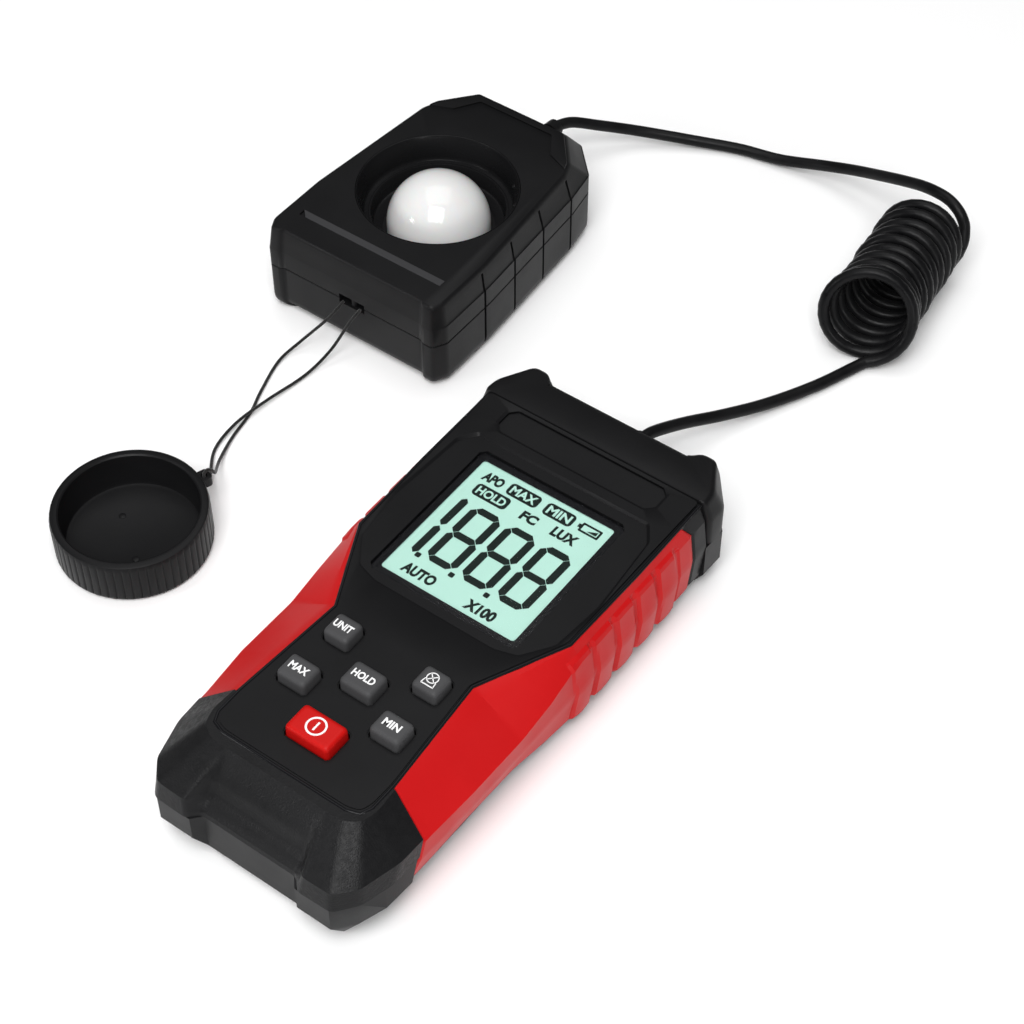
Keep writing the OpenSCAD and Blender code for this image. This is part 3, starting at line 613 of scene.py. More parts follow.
def soft_corners(outline, radius, steps=4):
    """The same outline with each corner drawn as a small curve of steps + 1 points."""
    out = []
    for i, here in enumerate(outline):
        here = Vector(here)
        before, after = Vector(outline[i - 1]) - here, Vector(outline[(i + 1) % len(outline)]) - here
        a = here + before * min(0.45, radius / before.length)
        b = here + after * min(0.45, radius / after.length)
        for k in range(steps + 1):
            t = k / steps
            out.append(tuple(a * (1 - t) ** 2 + here * 2 * t * (1 - t) + b * t * t))
    return out


def ring_at(outline, z):
    return [(x, y, z) for x, y in outline]


def annulus(centre, inner, outer, low, high, segments=48):
    rings = [ring_points(r, z, segments, centre)
             for r, z in ((outer, low), (outer, high), (inner, high), (inner, low), (outer, low))]
    return loft(rings, capped=False)


def bar(start, end, width, low, high):
    """A straight stroke with square ends on a level surface."""
    a, b = Vector(start), Vector(end)
    along = (b - a).normalized()
    side = Vector((-along.y, along.x)) * width / 2
    return prism([tuple(a - side), tuple(b - side), tuple(b + side), tuple(a + side)], low, high)


def text_solid(words, box, low, high, bold=0.03, lean=0.0):
    """Words as a solid that fills a plan box (x0, y0, x1, y1)."""
    curve = bpy.data.curves.new("words", "FONT")
    curve.body = words
    curve.size = 1
    curve.offset = bold
    curve.extrude = 0.5
    curve.resolution_u = 4
    holder = put_in_scene("words", curve)
    graph = bpy.context.evaluated_depsgraph_get()
    mesh = bpy.data.meshes.new_from_object(holder.evaluated_get(graph))
    raw = [v.co.copy() for v in mesh.vertices]
    faces = [tuple(p.vertices) for p in mesh.polygons]
    bpy.data.objects.remove(holder)
    bpy.data.curves.remove(curve)
    bpy.data.meshes.remove(mesh)
    x0, y0, x1, y1 = box
    left, right = min(p.x for p in raw), max(p.x for p in raw)
    foot, head = min(p.y for p in raw), max(p.y for p in raw)
    points = []
    for p in raw:
        up = (p.y - foot) / (head - foot)
        x = x0 + (x1 - x0) * (p.x - left) / (right - left) + lean * up
        points.append((x, y0 + (y1 - y0) * up, low if p.z < 0 else high))
    return points, faces


def gap_to(outline, x, y):
    """Shortest distance from a plan point to an outline."""
    best = 1e9
    point = Vector((x, y))
    for a, b in zip(outline, outline[1:] + outline[:1]):
        a, b = Vector(a), Vector(b)
        along = b - a
        share = max(0.0, min(1.0, (point - a).dot(along) / along.length_squared))
        best = min(best, (a + along * share - point).length)
    return best


def ease(low, high, value):
    """Smooth step from 0 at low to 1 at high."""
    t = max(0.0, min(1.0, (value - low) / (high - low)))
    return t * t * (3 - 2 * t)


# ---- display

GLASS_TOP = 29.3
INK_TOP = GLASS_TOP + 0.06
LABEL_TOP = INK_TOP + 0.04
DIGIT_BASE, DIGIT_HEIGHT, DIGIT_WIDTH, BAR_WIDTH = 8.5, 21.4, 9.2, 2.1
BAR_GAP = 0.1


def upright_bar(x, low, high):
    half = BAR_WIDTH / 2
    return [(x, low), (x + half, low + half), (x + half, high - half), (x, high),
            (x - half, high - half), (x - half, low + half)]


def level_bar(y, left, right):
    half = BAR_WIDTH / 2
    return [(left, y), (left + half, y - half), (right - half, y - half), (right, y),
            (right - half, y + half), (left + half, y + half)]


def digit_eight(x):
    """The seven bars of an 8 whose left edge is at x."""
    half = BAR_WIDTH / 2
    foot, head = DIGIT_BASE + half, DIGIT_BASE + DIGIT_HEIGHT - half
    middle = (foot + head) / 2
    left, right = x + half, x + DIGIT_WIDTH - half
    bars = [level_bar(y, left + BAR_GAP, right - BAR_GAP) for y in (foot, middle, head)]
    for side in (left, right):
        bars.append(upright_bar(side, foot + BAR_GAP, middle - BAR_GAP))
        bars.append(upright_bar(side, middle + BAR_GAP, head - BAR_GAP))
    return bars


def make_display():
    base = rounded(-21.5, -2, 21.5, 45, 0.8)
    panel = add_piece("lcd_panel", *prism(base, 25.6, GLASS_TOP), REFLECTOR, "meter", "lcd")
    soften(panel, 0.2)
    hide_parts("lcd_glass")

    bars = [upright_bar(-16.4, 8.2, 19.0), upright_bar(-16.4, 19.4, 30.2)]
    for x in (-13.5, -2.8, 8.1):
        bars += digit_eight(x)
    lean = 0.025
    ink = [prism([(x + lean * (y - 19), y) for x, y in b], GLASS_TOP, INK_TOP) for b in bars]
    for x, y in ((-15.0, 8.3), (-4.4, 8.0), (6.4, 7.9)):
        ink.append(prism(rounded(x - 0.75, y - 0.75, x + 0.75, y + 0.75, 0.3, 2), GLASS_TOP, INK_TOP))
    words = (("APO", (-17.6, 37.7, -11.6, 40.9)), ("FC", (-2.2, 32.6, 2.6, 35.7)),
             ("LUX", (7.2, 32.8, 14.4, 36.1)), ("AUTO", (-15.9, 1.9, -6.2, 5.3)),
             ("X100", (3.6, 1.5, 12.3, 4.9)))
    for text, box in words:
        ink.append(text_solid(text, box, GLASS_TOP, INK_TOP, 0.05, 0.15))
    labels = []
    for text, (x0, y0, x1, y1) in (("HOLD", (-16.9, 32.3, -6.5, 36.5)), ("MAX", (-9.9, 37.4, -0.5, 41.6)),
                                   ("MIN", (1.4, 37.4, 10.1, 41.7))):
        ink.append(prism(rounded(x0, y0, x1, y1, 1.2), GLASS_TOP, INK_TOP))
        labels.append(text_solid(text, (x0 + 0.9, y0 + 0.75, x1 - 0.9, y1 - 0.75), INK_TOP, LABEL_TOP, 0.03))
    frame_out, frame_in = rounded(12.2, 38.1, 18.1, 41.2, 0.3, 2), rounded(12.8, 38.7, 17.5, 40.6, 0.2, 2)
    ink.append(sheet_solid(frame_out, [frame_in], lambda x, y: INK_TOP, GLASS_TOP))
    ink.append(prism([(11.5, 39.1), (12.2, 39.1), (12.2, 40.3), (11.5, 40.3)], GLASS_TOP, INK_TOP))
    ink.append(prism([(14.4, 39.0), (17.2, 39.0), (17.2, 40.3)], GLASS_TOP, INK_TOP))
    add_piece("lcd_segments", *join(ink), SEGMENT, "meter", "lcd")
    add_piece("lcd_labels", *join(labels), REFLECTOR, "meter", "lcd")

    pane = rounded(-22.3, -2.3, 22.3, 45.3, 1.4)
    hole = rounded(-20.3, 0.0, 20.3, 43.2, 0.9)
    border = sheet_solid(pane, [hole], lambda x, y: 29.6, 29.5)
    add_piece("window_border", *border, GLOSS_RIM, "meter", "clear_window")
    window = add_piece("display_window", *prism(pane, 29.65, 30.2), WINDOW, "meter", "clear_window")
    soften(window, 0.15)
    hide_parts("lcd_window")


# ---- keys

KEYS = {
    "unit": (-13.3, -22.9, 7.4, 7.2), "max": (-13.9, -38.8, 8.6, 7.2), "hold": (0, -31.8, 9.4, 7.6),
    "lamp": (13.3, -22.9, 7.4, 7.2), "min": (13.9, -38.8, 8.6, 7.2), "power": (0, -49.2, 13.0, 8.4),
}
KEY_TOP = 33.8
KEY_GAP = 0.75
LEGEND_TOP = KEY_TOP + 0.07
KEY_PROFILE = ((0, 25.1), (0, 27.2), (-1, 27.2), (-1, 28.4), (0, 28.4), (0.05, 32.5), (0.18, 33.1),
               (0.42, 33.48), (0.75, 33.7), (1.05, 33.79), (1.5, KEY_TOP))


def key_legend(name, x, y):
    """White marks on a key's top: its word, or the lamp or power sign."""
    low, high = KEY_TOP - 0.1, LEGEND_TOP
    if name == "power":
        return join([annulus((x, y), 2.15, 2.65, low, high), bar((x, y - 1.3), (x, y + 1.3), 0.5, low, high)])
    if name == "lamp":
        strokes = ((-1.05, -0.55, 1.05, 1.55, 0.26), (1.05, -0.55, -1.05, 1.55, 0.26),
                   (-1.5, -0.3, -1.7, -1.9, 0.26), (1.5, -0.3, 1.7, -1.9, 0.26), (-1.8, -1.9, 1.8, -1.9, 0.3))
        marks = [bar((x + a, y + b), (x + c, y + d), width, low, high) for a, b, c, d, width in strokes]
        return join([annulus((x, y + 0.5), 1.35, 1.62, low, high)] + marks)
    half = {"unit": 2.7, "max": 2.7, "hold": 3.2, "min": 2.4}[name]
    return text_solid(name.upper(), (x - half, y - 0.9, x + half, y + 1.25), low, high, 0.03)


def make_keys():
    for name, (x, y, wide, long) in KEYS.items():
        body = "key_" + name
        rings = []
        for inset, z in KEY_PROFILE:
            outline = rounded(x - wide / 2 + inset, y - long / 2 + inset,
                              x + wide / 2 - inset, y + long / 2 - inset, max(0.5, 1.1 - 0.3 * inset))
            rings.append(ring_at(outline, z))
        red = name == "power"
        slot = "red_key" if red else "grey_key"
        cap = add_piece("button_" + name, *loft(rings), RED_KEY if red else GREY_KEY, body, slot)
        smooth(cap, 40)
        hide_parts(body)
        add_piece("legend_" + name, *key_legend(name, x, y), LEGEND, body, slot)


# ---- face

PANEL = [(18, -5), (24, -3.2), (29.5, 4.6), (31, 20), (29.4, 43.6), (26, 48.6)]
FACE_EDGE = [(18, -60.6), (21.2, -59.6), (22.2, -56.6), (22.4, -50), (20, -17.1), (31.4, 6.8),
             (31.8, 22), (32.0, 38), (32.2, 50), (32.5, 62.3)]
PLATE = [(22.4, 52.7), (24.5, 54.8), (24.5, 59.6), (22.6, 61.5)]


def make_face():
    """Raised skin of the face round the sunk display panel, the name plate and the keys."""
    panel = soft_corners(mirrored(PANEL), 0.7, 2)
    plate = soft_corners(mirrored(PLATE), 0.6, 2)
    key_gaps = [rounded(x - w / 2 - KEY_GAP, y - l / 2 - KEY_GAP,
                        x + w / 2 + KEY_GAP, y + l / 2 + KEY_GAP, 1.9, 4) for x, y, w, l in KEYS.values()]
    wider = []
    for x, y in panel:
        centre = Vector((0, 21))
        away = (Vector((x, y)) - centre).normalized()
        wider.append(tuple(Vector((x, y)) + away * 0.75))
    wide_loop = wider + wider[:1]
    border = [(x + (0.8 if x > 0 else -0.8), y + (0.8 if y > 57 else -0.8)) for x, y in plate]

    def top_of(x, y):
        rise = 0.22 + 0.5 * ease(8, 44, y)
        rise *= min(1.0, 0.45 + 0.55 * gap_to(plate, x, y) / 0.75)
        return FACE_Z + 0.02 + rise * min(1.0, gap_to(panel, x, y) / 0.65)

    skin = sheet_solid(soft_corners(mirrored(FACE_EDGE), 1.2, 3), [panel, plate, *key_gaps], top_of,
                       FACE_Z - 0.1, creases=[wide_loop, border + border[:1]])
    piece = add_piece("face_surround", *skin, FACE, "meter", "black_shell")
    soften(piece, 0.16, 24, 2)
    edge = [(33.0, 61.9), (32.9, 34), (32.1, 6.9), (20.6, -17), (23.0, -50), (22.9, -57.6), (21.6, -60.4),
            (18.3, -61.5)]
    bead = tube([Vector((x, y, FACE_Z - 0.25)) for x, y in mirrored(edge)], 0.5, 12)
    rim = add_piece("face_rim", *bead, GLOSS_RIM, "meter", "black_shell")
    smooth(rim, 50)


# ---- grips

# Rows of the meter's cross section: y, then x and z of the face edge, shoulder, widest and low points.
SECTIONS = [
    (-60, (24.0, 30.5), (33.8, 21), (33.6, 15), (32.0, 8), (28.5, 0)),
    (-50, (23.6, 30.5), (34.2, 21), (34.0, 15), (32.4, 8), (29.0, 0)),
    (-36, (22.7, 30.5), (35.2, 21.5), (34.6, 15), (32.6, 8), (29.2, 0)),
    (-17, (21.0, 30.5), (35.4, 21), (35.0, 15), (32.8, 7), (29.5, 0)),
    (-6, (26.8, 30.5), (35.6, 23), (35.6, 16), (33.8, 6), (30.5, 0)),
    (7, (32.6, 30.5), (35.2, 26), (36.2, 17), (35.0, 6), (32.0, 0)),
    (SEAM_Y, (33.5, 30.5), (35.2, 26), (36.3, 17), (35.4, 6), (32.5, 0)),
]
GRIP_FOOT = 3.4
GRIP_DEPTH, COLLAR_DEPTH = 1.7, 1.9
COLLAR_GAP, COLLAR_END = 0.2, 62.4
RIB_START, RIB_PITCH, RIB_COUNT = 3.0, 9.2, 5


def section_point(y, s):
    """Point of the meter's skin at y; s is 0 at the face edge and 4 at the grip's foot."""
    rows = [(a, b) for a, b in zip(SECTIONS, SECTIONS[1:]) if a[0] <= y <= b[0] + 1e-6]
    a, b = rows[0]
    t = (y - a[0]) / (b[0] - a[0])
    corners = [Vector(p).lerp(Vector(q), t) for p, q in zip(a[1:], b[1:])]
    low, base = corners[3], corners[4]
    corners[4] = low.lerp(base, (low.y - GRIP_FOOT) / low.y)
    i = min(3, int(s))
    return corners[i].lerp(corners[i + 1], s - i)


def rib_offset(y, s):
    """How far the grip's ribs stand out at a point of its skin."""
    along = (y - 0.3 * s - RIB_START) / RIB_PITCH
    if along < 0 or along > RIB_COUNT:
        return 0.0
    phase = along - floor(along)
    pad = ease(0.0, 0.07, phase) * (1 - ease(0.80, 0.87, phase))
    band = ease(0.55, 0.75, s) * (1 - ease(3.3, 3.7, s))
    bulge = 0.35 * sin(pi * min(1.0, phase / 0.84)) * ease(1.0, 2.2, s)
    return band * (0.9 * pad - 0.4 + bulge)


def seam_y(s):
    """Where the slanted seam with the bumper crosses the skin at s."""
    return -50.3 - 0.3057 * (FACE_Z - section_point(-52, s).y)


def skin_columns():
    """Positions across the skin, finer where it bends."""
    columns = []
    for i, parts in enumerate((9, 5, 7, 3)):
        columns += [i + k / parts for k in range(parts)]
    return columns + [4.0]


def skin_patch(side, columns, rows, lift_of, depth):
    """A solid patch of the meter's side skin; each row lists its y at every column."""
    outer, inner = [], []
    last = len(rows) - 1
    for r, row in enumerate(rows):
        for s, y in zip(columns, row):
            here = section_point(y, s)
            ahead = section_point(y, min(4.0, s + 0.02)) - section_point(y, max(0.0, s - 0.02))
            normal = Vector((-ahead.y, ahead.x)).normalized()
            rolled = 0.45 * (1 - ease(0, 1.2, min(r, last - r))) + 0.35 * (1 - ease(0, 0.12, s))
            out = here + normal * (lift_of(y, s) - rolled)
            deep = here - normal * depth
            outer.append((side * out.x, y, out.y))
            inner.append((side * deep.x, y, deep.y))
    wide, count = len(columns), len(outer)
    faces = []
    for r in range(last):
        for c in range(wide - 1):
            a = r * wide + c
            quad = (a, a + 1, a + 1 + wide, a + wide)
            faces.append(quad)
            faces.append(tuple(count + i for i in reversed(quad)))
    border = [c for c in range(wide)] + [r * wide + wide - 1 for r in range(1, last + 1)]
    border += [last * wide + c for c in range(wide - 2, -1, -1)] + [r * wide for r in range(last - 1, 0, -1)]
    for a, b in zip(border, border[1:] + border[:1]):
        faces.append((a, b, count + b, count + a))
    return outer + inner, faces


def grip_top(s):
    return 53 + 3 * min(1.0, s)


def make_grip(side):
    columns = skin_columns()
    rows = []
    for k in range(10):
        rows.append([seam_y(s) + (-48 - seam_y(s)) * k / 10 for s in columns])
    for a, b in ((-48, -36), (-36, -17), (-17, -6), (-6, 7), (7, 50)):
        count = int((b - a) / 0.75)
        rows += [[a + (b - a) * k / count] * len(columns) for k in range(count)]
    for k in range(8):
        rows.append([50 + (grip_top(s) - 50) * k / 7 for s in columns])
    name = "left_grip" if side < 0 else "right_grip"
    solid = skin_patch(side, columns, rows, rib_offset, GRIP_DEPTH)
    piece = add_piece(name + "_skin", *solid, RED, "meter", "red_grip")
    smooth(piece, 14)
    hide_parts(name)


def make_collar(side):
    """Black band of the shells between a grip and the end cap."""
    columns = skin_columns()
    rows = []
    for k in range(10):
        rows.append([grip_top(s) + COLLAR_GAP + (COLLAR_END - grip_top(s) - COLLAR_GAP) * k / 9
                     for s in columns])
    solid = skin_patch(side, columns, rows, lambda y, s: -0.1, COLLAR_DEPTH)
    name = "left_collar" if side < 0 else "right_collar"
    smooth(add_piece(name, *solid, SHELL, "meter", "black_shell"), 14)


# ---- bumper and end cap

# Right half of a horn's outline at three heights, from the grip seam to the edge of the scoop.
HORN_FOOT = [(34.2, -44), (33.4, -64), (31, -72.5), (26.5, -78.2), (16.6, -78.4)]
HORN_EDGE = [(34.2, -44), (33.4, -61), (30.4, -72), (26, -77), (17.4, -77.2)]
HORN_TOP = [(23.6, -44), (24.4, -57.5), (23.2, -61.8), (19.8, -64.2), (15.6, -64.4)]
EDGE_Z = 22.0
# The scoop between the horns, down its middle: z and y.
SCOOP = [(30.5, -64.4), (28.5, -66.6), (26.5, -68.5), (24.5, -69.9), (22.5, -70.7), (21, -71.4),
         (19.8, -72.6), (18.8, -74.1), (17.8, -75.2), (16.6, -75.6)]


def between(low, high, share):
    return [tuple(Vector(a).lerp(Vector(b), share)) for a, b in zip(low, high)]


def scoop_y(z):
    """How far back the middle of the scoop lies at a height."""
    for (high, a), (low, b) in zip(SCOOP, SCOOP[1:]):
        if z >= low:
            return b + (a - b) * (z - low) / (high - low)
    return SCOOP[-1][1]


def bumper_ring(z):
    """The bumper's outline at a height: two horns with the scoop between them."""
    if z >= EDGE_Z:
        share = (z - EDGE_Z) / (FACE_Z - EDGE_Z)
        horn = between(HORN_EDGE, HORN_TOP, share)
    else:
        horn = between(HORN_FOOT, HORN_EDGE, (z - PARTING_Z) / (EDGE_Z - PARTING_Z))
    corner = min(14.2, horn[-1][0] - 0.8)
    half = horn + [(corner, scoop_y(z)), (6, scoop_y(z))]
    return ring_at(soft_corners(mirrored(half), 1.3, 4), z)


def make_bumper():
    heights = [16.6, 17.2, 17.8, 18.3, 18.8, 19.3, 19.8, 20.4, 21, 21.5, EDGE_Z]
    heights += [EDGE_Z + 8.5 * k / 12 for k in range(1, 13)]
    rings = [bumper_ring(z) for z in heights]
    bumper = add_piece("bumper_skin", *loft(rings), PEBBLE, "meter", "soft_black")
    face_end = [(18.5, -61.9), (22, -60.7), (23.2, -57.1), (23.4, -50), (23.4, -40)]
    face = soft_corners(mirrored(face_end), 1.5, 3)
    seam = [(-49.2, 35), (-58.7, 4), (-30, 4), (-30, 35)]
    wedge = loft([[(x, y, z) for y, z in seam] for x in (-60, 60)])
    carve(bumper, [prism(face, 22, 40), wedge])
    smooth(bumper, 24)
    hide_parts("bottom_bumper")


END_FOOT = [(36.3, 62.5), (36.5, 69), (28.5, 79), (24.3, 79), (21.3, 76)]
END_TOP = [(34.6, 62.5), (34.1, 67.4), (28.6, 76.9), (24.2, 76.9), (21.8, 74.2)]
END_CROWN = [(33.4, 62.5), (33.0, 66.8), (27.9, 75.6), (24.6, 75.6), (22.3, 73.0)]


def make_end_cap():
    foot, top, crown = [soft_corners(mirrored(half), 1.6, 4) for half in (END_FOOT, END_TOP, END_CROWN)]
    rings = [ring_at(foot, 16.5), ring_at(foot, 24.8), ring_at(between(foot, top, 0.12), 26)]
    rings += [ring_at(between(foot, top, 0.12 + 0.88 * k / 4), 26 + 4.9 * k / 4) for k in range(1, 5)]
    rings += [ring_at(between(top, crown, 0.4), 31.35), ring_at(crown, 31.6)]
    cap = add_piece("end_cap_skin", *loft(rings), SHELL, "meter", "black_shell")
    step = [(72.3, 31.8), (73.9, 31.0), (73.9, 30.2), (80, 29.4), (80, 34), (72.3, 34)]
    valley = loft([[(x, y, z) for y, z in step] for x in (-21.6, 21.6)])
    carve(cap, [valley])
    soften(cap, 0.5, 30, 3)
    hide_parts("top_end_cap")


# ---- sensor head

# Right half of the head's outline at its sides and round its top, in matching points.
HEAD_SIDE = [(24.6, 78.8), (25.6, 78), (29, 78), (31.3, 82), (31.3, 102), (28.6, 146), (26.8, 157), (17, 167)]
HEAD_CROWN = [(24.6, 79.8), (25.4, 79.1), (28.4, 79.1), (30, 82.3), (30, 102), (25.9, 146), (24, 150.2),
              (15.8, 160.4)]
SHOULDER_Z = 22
# The upright grooves in its sides: y, and x of the side there.
GROOVES = [(99.8, 31.3), (115, 30.5), (130.2, 29.6), (145.3, 28.7)]
GROOVE_HALF = 0.45
HEAD_SCREWS = [(-23, 88), (23, 88), (-20, 150), (20, 150)]
LUG_ANGLE = -71
RECESS_R = 23.75
OUTLET_R, OUTLET_Z = 3.25, 13.5


def on_head(solid):
    """Moves a solid from the head's middle line to its place."""
    return placed(solid, (SENSOR_X, 0, 0))


def lanyard_slot(low, high):
    return on_head(prism(rounded(-4.5, 74, 4.5, 82.2, 0.4, 2), low, high))


def lug_pocket():
    """Room in the ring for the cap's lug."""
    pocket = prism([(20.5, -2.2), (24.4, -2.2), (24.4, 2.2), (20.5, 2.2)], 22.5, 27)
    return placed(pocket, (SENSOR_X, SENSOR_Y, 0), LUG_ANGLE)


def head_ring(z, share, inset=0.0, step=0.0, undercut=0.0):
    """The head's outline at a height, part way from its sides to its top."""
    half = []
    for (x, y), row in zip(between(HEAD_SIDE, HEAD_CROWN, share), range(len(HEAD_SIDE))):
        x -= inset + (step if row > 2 else 0)
        y += inset if y < 100 else -inset
        half.append((x, y + (undercut if row == 0 else 0)))
    return ring_at(soft_corners(mirrored(half), 0.9, 3), z)


def head_cuts():
    """Side grooves, cable outlet and screw holes of both halves of the head."""
    cuts = []
    for side in (-1, 1):
        for y, x in GROOVES:
            levels = []
            for z, lean in ((-1, 0), (SHOULDER_Z, 0), (28.2, 1.1 + 0.03 * (y - 99.8))):
                near, far = side * (x - 0.75 - lean), side * (x + 3)
                levels.append([(near, y - GROOVE_HALF, z), (far, y - GROOVE_HALF, z),
                               (far, y + GROOVE_HALF, z), (near, y + GROOVE_HALF, z)])
            cuts.append(loft(levels))
    outlet = ring_points(OUTLET_R, 0, 24)
    cuts.append(loft([[(x, y, OUTLET_Z + z) for x, z, _ in outlet] for y in (160, 172)]))
    hole = ((2.6, -1), (2.6, 2.6), (1.4, 2.6), (1.4, 14))
    for place in HEAD_SCREWS:
        cuts.append(loft([ring_points(r, z, 24, place) for r, z in hole]))
    return [on_head(cut) for cut in cuts]


def make_head_case():
    rings = [head_ring(15.9, 0, 0.15), head_ring(16.15, 0), head_ring(SHOULDER_Z, 0),
             head_ring(22.15, 0.02, 0, 0.3)]
    crown = ((0.5, 0, 26), (0.84, 0, 28.7), (0.92, 0.08, 29.3), (0.98, 0.3, 29.75), (1, 0.65, 30))
    for share, inset, z in crown:
        rings.append(head_ring(z, share, inset, 0.3 * (1 - share)))
    case = add_piece("sensor_case_skin", *on_head(loft(rings)), SHELL, "sensor_head", "black_shell")
    cuts = head_cuts()
    cuts.append(placed(loft([ring_points(RECESS_R, z, 128) for z in (10, 40)]), (SENSOR_X, SENSOR_Y, 0)))
    cuts.append(on_head(prism([(-25, 87.45), (25, 87.45), (25, 89.75), (-25, 89.75)], 29.4, 33)))
    carve(case, cuts + [lanyard_slot(15, 17.4), lug_pocket()])
    smooth(case, 28)
    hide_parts("sensor_front_case")
    half = [(15.4, 160.0), (23.6, 149.9), (24.6, 147.2), (17.7, 149.9), (13, 157.4)]
    edge = soft_corners(mirrored(half), 0.5, 3)
    rings = [ring_at(edge, 29.6), ring_at(edge, 30.3),
             ring_at([(x * 0.992, y - 0.12 * (y - 154) / 4) for x, y in edge], 30.5)]
    rim = add_piece("sensor_back_rim", *on_head(loft(rings)), SHELL, "sensor_head", "black_shell")
    smooth(rim, 50)


def make_head_rear():
    rings = [head_ring(z, 0, inset, 0, undercut)
             for z, inset, undercut in ((0, 3.4, 1.6), (0.3, 2.3, 1.3), (0.9, 1.3, 0.9), (1.8, 0.5, 0.5),
                                        (3, 0.1, 0.1), (4.5, 0, 0), (15.45, 0, 0), (15.7, 0.15, 0))]
    rear = add_piece("sensor_rear_skin", *on_head(loft(rings)), SHELL, "sensor_head", "black_shell")
    carve(rear, head_cuts() + [lanyard_slot(14.2, 17)])
    smooth(rear, 28)
    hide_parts("sensor_rear_case")
    post = lathe([(0.9, 13.8), (1.1, 14), (1.1, 17)], (SENSOR_X, 80.4), 24)
    smooth(add_piece("lanyard_post", *post, SHELL, "sensor_head", "black_shell"), 40)


def make_bezel():
    """Recess wall, cap ledge and the dark ring that holds the dome."""
    profile = [(15.35, 14.3), (23.65, 14.3), (23.65, 29.8), (23.55, 30.02), (23.35, 29.95), (23.0, 29.2),
               (22.1, 25.6), (21.8, 23.4), (21.7, 22.6), (21.4, 22.25), (20.4, 22.1), (20.1, 22.25),
               (19.7, 22.2), (19.5, 21.9), (19.2, 18.2), (18.9, 17.6), (18.0, 17.4), (16.2, 15.6),
               (15.35, 15.4), (15.35, 14.3)]
    solid = lathe(profile, (SENSOR_X, SENSOR_Y), 128, capped=False)
    bezel = add_piece("sensor_bezel_skin", *solid, BEZEL, "sensor_head", "black_shell")
    carve(bezel, [lug_pocket()])
    smooth(bezel, 35)
    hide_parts("sensor_bezel")
    bumps = []
    for angle in (28, 49):
        place = on_circle(radians(angle), 22.5, (SENSOR_X, SENSOR_Y))
        rings = [ring_points(r, 26.2 + h, 16, place)
                 for r, h in ((0.05, -0.9), (0.55, -0.6), (0.8, 0), (0.55, 0.6), (0.05, 0.9))]
        bumps.append(loft(rings))
    smooth(add_piece("snap_bumps", *join(bumps), BEZEL, "sensor_head", "black_shell"), 60)


DOME_R, DOME_Z = 15.2, 17.6


def make_dome():
    outer = [on_circle(radians(a), DOME_R, (0, DOME_Z)) for a in range(0, 90, 3)]
    profile = [(17.5, 13.1), (17.5, 14.1), (DOME_R, 14.2)] + outer + [(0.05, DOME_Z + DOME_R)]
    solid = lathe(profile, (SENSOR_X, SENSOR_Y), 128)
    dome = add_piece("opal_dome", *solid, OPAL, "sensor_head", "white_acrylic")
    smooth(dome, 40)
    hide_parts("sensor_dome")


# ---- cap

CAP_R, CAP_H, CAP_WALL = 21.1, 13.0, 2.6
FLUTES = 60


def flute(angle):
    """Depth of the narrow groove at each flute of the wall."""
    return -max(0.0, cos(FLUTES * angle)) ** 4


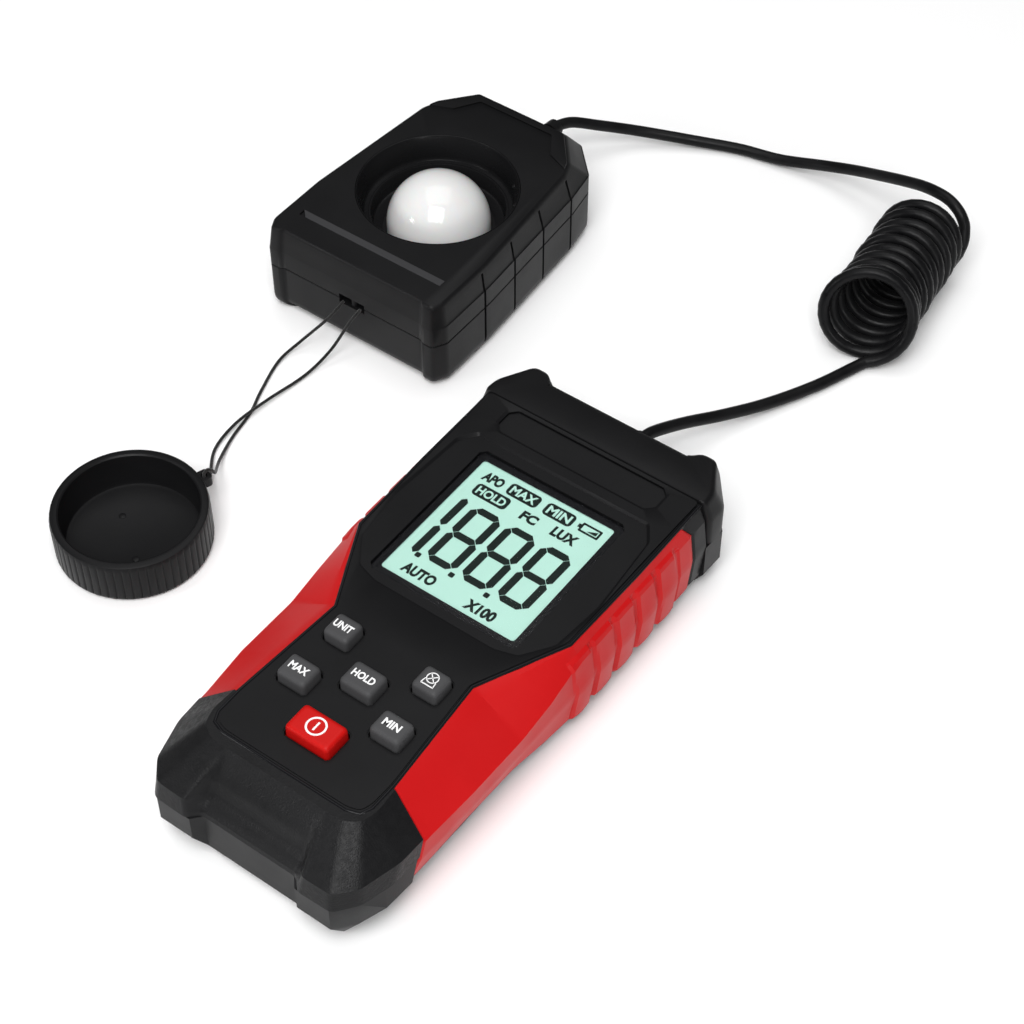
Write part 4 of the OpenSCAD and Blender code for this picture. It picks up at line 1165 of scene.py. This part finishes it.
def make_cap():
    wall_in = CAP_R - CAP_WALL
    profile = [(CAP_R - 1.6, 0), (CAP_R - 0.8, 0.15), (CAP_R - 0.2, 0.7, 0.05), (CAP_R, 1.5, 0.32),
               (CAP_R, CAP_H - 1.6, 0.32), (CAP_R - 0.1, CAP_H - 0.9, 0.1), (CAP_R - 0.35, CAP_H - 0.25),
               (CAP_R - 0.8, CAP_H), (wall_in + 0.5, CAP_H), (wall_in + 0.1, CAP_H - 0.35),
               (wall_in, CAP_H - 1), (wall_in - 0.15, 3.2), (wall_in - 0.6, 2.3), (wall_in - 1.4, 2)]
    shell = lathe(profile, (CAP_X, CAP_Y), FLUTES * 8, flute)
    ear = rounded(20.2, -1.9, 23.8, 1.9, 1.0, 4)
    eye = [on_circle(2 * pi * k / 20, 0.9, (22.1, 0)) for k in range(20)]
    lug = sheet_solid(ear, [eye], lambda x, y: CAP_H - 1, CAP_H - 4)
    dots = [lathe([(1.0, 1.9), (1.0, 2.1), (0.7, 2.25)], (CAP_X + x, CAP_Y + y), 24)
            for x, y in ((-7, 3), (6, -6))]
    cap = add_piece("cap_skin", *join([shell, placed(lug, (CAP_X, CAP_Y, 0), 70), *dots]), SHELL,
                    "sensor_cap", "black_shell")
    smooth(cap, 35)
    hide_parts("sensor_cap")


make_camera()
make_studio()
make_cords()
make_display()
make_keys()
make_face()
for side in (-1, 1):
    make_grip(side)
for side in (-1, 1):
    make_collar(side)
make_bumper()
make_end_cap()
make_head_case()
make_head_rear()
make_bezel()
make_dome()
make_cap()

# The CAD nodes that still show, under the material that each takes.
CARRIED = (
    (FACE, ("front_case",)),
    (SHELL, ("rear_case", "name_plate", "battery_door")),
    (STRIP, ("accent_strip",)),
    (LIGHT_GUIDE, ("backlight",)),
    (SILICONE, ("zebra_strips", "key_mat")),
    (PCB, ("main_board", "sensor_board")),
    (CHIP, ("lcd_frame", "chips", "buzzer", "photodiode")),
    (CELL, ("battery_cells",)),
    (STEEL, ("battery_contacts", "case_screws", "sensor_screws")),
    (BRASS, ("tripod_insert",)),
    (CORD, ("meter_gland", "sensor_gland")),
    (FILTER, ("colour_filter",)),
)
# Edge rounding in millimetres of the ones on the outside.
SOFT_EDGES = {
    "front_case": 0.25, "rear_case": 0.5, "name_plate": 0.12, "battery_door": 0.3, "case_screws": 0.12,
    "accent_strip": 0.1, "sensor_screws": 0.12, "meter_gland": 0.15, "sensor_gland": 0.15,
    "tripod_insert": 0.15,
}


def soften_node(node):
    """Rounds a carried node's edges, from a mesh with its own normals dropped."""
    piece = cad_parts[node]
    if "custom_normal" in piece.data.attributes:
        piece.data.attributes.remove(piece.data.attributes["custom_normal"])
    weld = piece.modifiers.new("weld", "WELD")
    weld.merge_threshold = 0.000002
    soften(piece, SOFT_EDGES[node], 30, 2)


def finish_carried_nodes():
    """Materials of the CAD nodes that still show, and softened edges on the outer ones."""
    for material, nodes in CARRIED:
        for node in nodes:
            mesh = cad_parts[node].data
            mesh.materials.clear()
            mesh.materials.append(material)
    for node in SOFT_EDGES:
        soften_node(node)


finish_carried_nodes()
